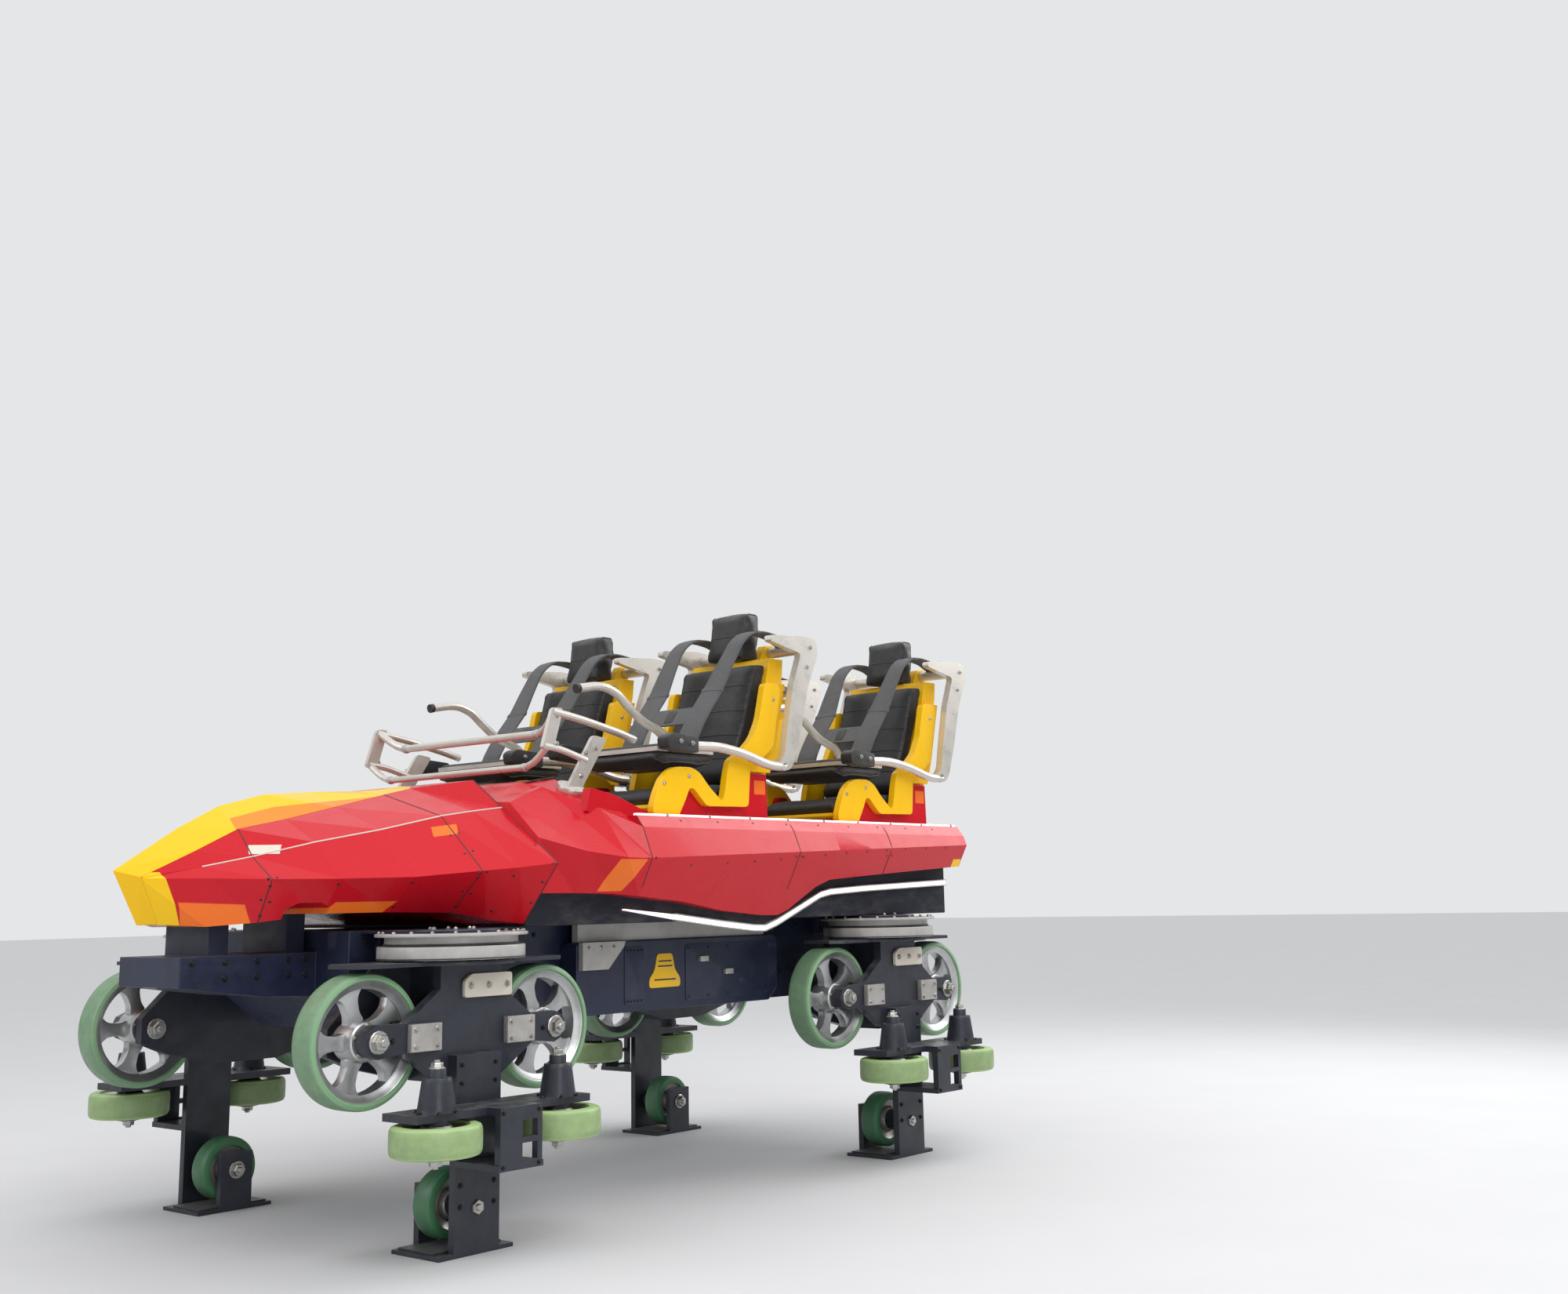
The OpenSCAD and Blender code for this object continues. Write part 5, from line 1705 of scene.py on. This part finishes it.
@dataclass
class Restraint:
    """One seat's restraint with its lap pad and vest."""

    shop: Workshop
    bolts: Fasteners
    to: Matrix
    tail: str
    pad: Upholstery

    strap = ((-8, 27.4), (10, 27.4), (60, 48), (150, 58), (230, 46), (283, 5), (348, -95),
             (405, -190), (460, -255), (510, -320), (546, -380), (558, -423.7))
    shoulder_w = 79.0
    waist_w = 106.0
    outer_y = 195.0

    @property
    def rig(self) -> Rig:
        """Rig of its body."""
        return Rig(self.shop, self.bolts, self.to, f"restraint_{self.tail}", "black_pad")

    def arms(self) -> None:
        """Dress the frame, and add clamps, ends and bolts."""
        rig = self.rig
        self.shop.dress(rig.body, SILVER, 7.0)
        clamp = rounded([(668, -452), (668, -396), (801, -386), (828, -403), (822, -442)], 12, 3,
                        True)
        bar = sweep([Vector((700, y, -424)) for y in (-252, 0, 252)], circle(17.5, 24),
                    side=Vector((1, 0, 0)))
        rig.piece(f"clamps_{rig.body}", CLAMP,
                  *[upright(clamp, y - 27.5, y + 27.5) for y in (-283, 283)], bar, bevel=4.0)
        cap = sweep([Vector((962, 0, -213.8)), Vector((974, 0, -216.6)), Vector((977, 0, -217.3))],
                    circle(17.0, 24))
        foot = sweep([Vector((484, 0, -424)), Vector((499, 0, -384))], circle(20.0, 24))
        rig.piece(f"grip_ends_{rig.body}", CLAMP, cap, foot, sharp=50)
        for sign in (1, -1):
            rig.heads(Head.HEX, ZINC, (0, sign, 0), 9,
                      [(x, sign * 311, z) for x, z in ((700, -418), (760, -414))])
        for sign in (1, -1):
            rig.heads(Head.HEX, ZINC, (0, sign, 0), 10,
                      [(x, sign * 298, z) for x, z in ((0, 0), (172, -462), (24, -80))])

    def lap(self) -> None:
        """Put the lap pad in, with its piping."""
        name = f"lap_pad_{self.tail}"
        self.pad.put(f"{name}_cushion", self.to, self.rig.body, (name,))
        self.rig.piece(f"{name}_piping", PIPING, *self.pad.piping())

    def vest(self) -> None:
        """Lay the vest's straps, its waist band, stitching and buckle."""
        name, rig = f"vest_{self.tail}", self.rig
        path = rounded([(x, 0, z) for x, z in self.strap], 34, 5)
        lengths = [0.0]
        for a, b in zip(path, path[1:]):
            lengths.append(lengths[-1] + (b - a).length)
        wide = [self.shoulder_w + (self.waist_w - self.shoulder_w)
                * min(1.0, max(0.0, (run / lengths[-1] - 0.42) / 0.25)) for run in lengths]
        straps = []
        for sign in (-1, 1):
            centre = [p + Vector((0, sign * (self.outer_y - w / 2), 0))
                      for p, w in zip(path, wide)]
            strap = sweep(centre, pill(self.shoulder_w, 8.5, 0.6))
            ring = len(strap.points) // len(centre)
            for i, point in enumerate(strap.points):
                middle = centre[i // ring].y
                point.y = middle + (point.y - middle) * wide[i // ring] / self.shoulder_w
            straps.append(strap)
            for edge in (-1, 1):
                self.stitches([c + Vector((0, edge * (w / 2 - 7), 0))
                               for c, w in zip(centre, wide)], 4.6)
            for share in (0.30, 0.66):
                i = int(share * (len(centre) - 2))
                straps.append(sweep([centre[i], centre[i + 1]], pill(wide[i] + 7, 13, 0.2)))
        band = [Vector((x, 0, z)) for x, z in self.strap[8:10]]
        straps.append(sweep(band, pill(244, 6.6, 0.0)))
        run = (band[1] - band[0]).normalized()
        across = Vector((0, 1, 0))
        turn = Matrix((run, across, run.cross(across))).transposed().to_4x4()
        buckle = prism(rounded([(-30, -22), (30, -22), (30, 22), (-30, 22)], 8, 3, True), -5.0, 5.0)
        rig.piece(f"{name}_web", VEST, *straps, slot="vest_web", sharp=60, stands_for=(name,))
        rig.piece(f"{name}_buckle", CLAMP,
                  buckle.moved(Matrix.Translation((band[0] + band[1]) / 2) @ turn),
                  slot="vest_web", bevel=1.5)

    def stitches(self, path: Sequence[Vector], lift: float) -> None:
        """Sew a row of stitches along a strap, on both faces.

        Args:
            path: Line of the row in the strap's middle plane.
            lift: Height of the stitches over it.
        """
        turn, spots = self.to.to_3x3(), []
        for a, b in zip(path, path[1:]):
            ahead = (b - a).normalized()
            up = ahead.cross(Vector((0, 1, 0))).normalized()
            count = max(1, round((b - a).length / 10))
            for sign in (1, -1):
                for k in range(count):
                    spots.append(Spot(self.to @ (a.lerp(b, (k + 0.5) / count) + up * lift * sign),
                                      (turn @ (up * sign)).normalized(), 3.4 * MM,
                                      (turn @ ahead).normalized()))
        self.bolts.add(self.rig.body, Head.STITCH, THREAD, spots)

    def build(self) -> None:
        """Build all of it."""
        self.arms()
        self.lap()
        self.vest()


@dataclass
class Studio:
    """Camera, lamps and floor of the picture."""

    eye: Point = (4.4129, 4.70, 1.0059)
    heading: float = -140.594
    pitch: float = 10.654
    roll: float = 1.128
    lens: float = 37.8
    shift_y: float = -0.037
    floor_tint: Colour = (0.58, 0.58, 0.59)
    backdrop: float = 0.80
    lamps: tuple[tuple[str, Point, float, float], ...] = (
        ("key", (3.0, 6.5, 6.5), 4.0, 250.0), ("fill", (6.5, -2.5, 4.0), 5.0, 120.0),
        ("rim", (-5.5, 2.0, 4.5), 4.0, 190.0), ("low", (3.0, 5.0, 0.6), 2.0, 30.0))

    def camera(self) -> None:
        """Put the camera where the picture was taken."""
        data = bpy.data.cameras.new("camera")
        data.lens, data.sensor_width, data.shift_y = self.lens, 36.0, self.shift_y
        data.clip_end = 200.0
        obj = bpy.data.objects.new("camera", data)
        bpy.context.scene.collection.objects.link(obj)
        heading, pitch = math.radians(self.heading), math.radians(self.pitch)
        ahead = Vector((math.cos(heading) * math.cos(pitch),
                        math.sin(heading) * math.cos(pitch), math.sin(pitch)))
        turn = ahead.to_track_quat("-Z", "Y").to_matrix().to_4x4()
        roll = Matrix.Rotation(math.radians(-self.roll), 4, "Z")
        obj.matrix_world = Matrix.Translation(self.eye) @ turn @ roll
        bpy.context.scene.camera = obj

    def lamp(self, name: str, spot: Point, size: float, power: float) -> None:
        """Hang one soft lamp that faces the car.

        Args:
            name: Name of the lamp.
            spot: Where it hangs, in metres.
            size: Side of its square face.
            power: Power in watts.
        """
        data = bpy.data.lights.new(name, "AREA")
        data.size, data.energy = size, power
        obj = bpy.data.objects.new(name, data)
        bpy.context.scene.collection.objects.link(obj)
        aim = Vector((0.0, 0.0, 0.9)) - Vector(spot)
        turn = aim.to_track_quat("-Z", "Y").to_matrix().to_4x4()
        obj.matrix_world = Matrix.Translation(spot) @ turn

    def floor(self) -> None:
        """Lay the pale floor."""
        half = 60.0
        mesh = bpy.data.meshes.new("floor")
        mesh.from_pydata([(-half, -half, 0), (half, -half, 0), (half, half, 0), (-half, half, 0)],
                         [], [(0, 1, 2, 3)])
        obj = bpy.data.objects.new("floor", mesh)
        bpy.context.scene.collection.objects.link(obj)
        t = Tree("floor")
        tone = t.span(t.noise(2.2, 4.0), 0.3, 0.7, 0.0, 0.35)
        t.set(Base_Color=t.mix(tone, self.floor_tint, toned(self.floor_tint, 0.92)),
              Roughness=0.72, Normal=t.relief(t.noise(90.0, 4.0), 0.0004, 0.4))
        mesh.materials.append(t.mat)

    def world(self) -> None:
        """Light the scene with a sky that is bright overhead, and pale to the camera."""
        world = bpy.data.worlds.new("sky")
        world.use_nodes = True
        nodes, link = world.node_tree.nodes, world.node_tree.links.new
        back, split = nodes["Background"], nodes.new("ShaderNodeSeparateXYZ")
        link(nodes.new("ShaderNodeTexCoord").outputs["Generated"], split.inputs[0])
        rise = nodes.new("ShaderNodeMapRange")
        link(split.outputs["Z"], rise.inputs["Value"])
        for key, value in (("From Min", 0.0), ("From Max", 0.8), ("To Min", 0.16),
                           ("To Max", 1.25)):
            rise.inputs[key].default_value = value
        choose = nodes.new("ShaderNodeMix")
        link(nodes.new("ShaderNodeLightPath").outputs["Is Camera Ray"], choose.inputs["Factor"])
        link(rise.outputs["Result"], choose.inputs["A"])
        choose.inputs["B"].default_value = self.backdrop
        link(choose.outputs["Result"], back.inputs["Strength"])
        back.inputs["Color"].default_value = (0.98, 0.99, 1.0, 1.0)
        bpy.context.scene.world = world

    def build(self) -> None:
        """Make camera, lamps, floor and sky."""
        self.camera()
        for lamp in self.lamps:
            self.lamp(*lamp)
        self.floor()
        self.world()
        bpy.context.scene.view_settings.view_transform = "Standard"


def main() -> None:
    """Build the whole picture."""
    logging.basicConfig(level=logging.INFO, format="%(message)s")
    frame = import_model()
    shop, car = Workshop(frame), Car()
    bolts = Fasteners(shop)
    Studio().build()
    Body(shop, bolts, car).build()
    Running(shop, bolts, car).build()
    corners = [(end, side, f"{end.word}_{side.word}") for end in End for side in Side]
    for end, side, tail in corners:
        Carrier(shop, bolts, car.carrier(end, side), tail).build()
        Wheels(shop, bolts, tail).build()
    Seats(shop, bolts, car).build()
    lap = Upholstery(shop, "lap_pad", LAP_PAD)
    for row, side, tail in corners:
        Restraint(shop, bolts, car.pivot(row, side), tail, lap).build()
    bolts.build()
    LOG.info("%d pieces", shop.count)


if __name__ == "__main__":
    main()
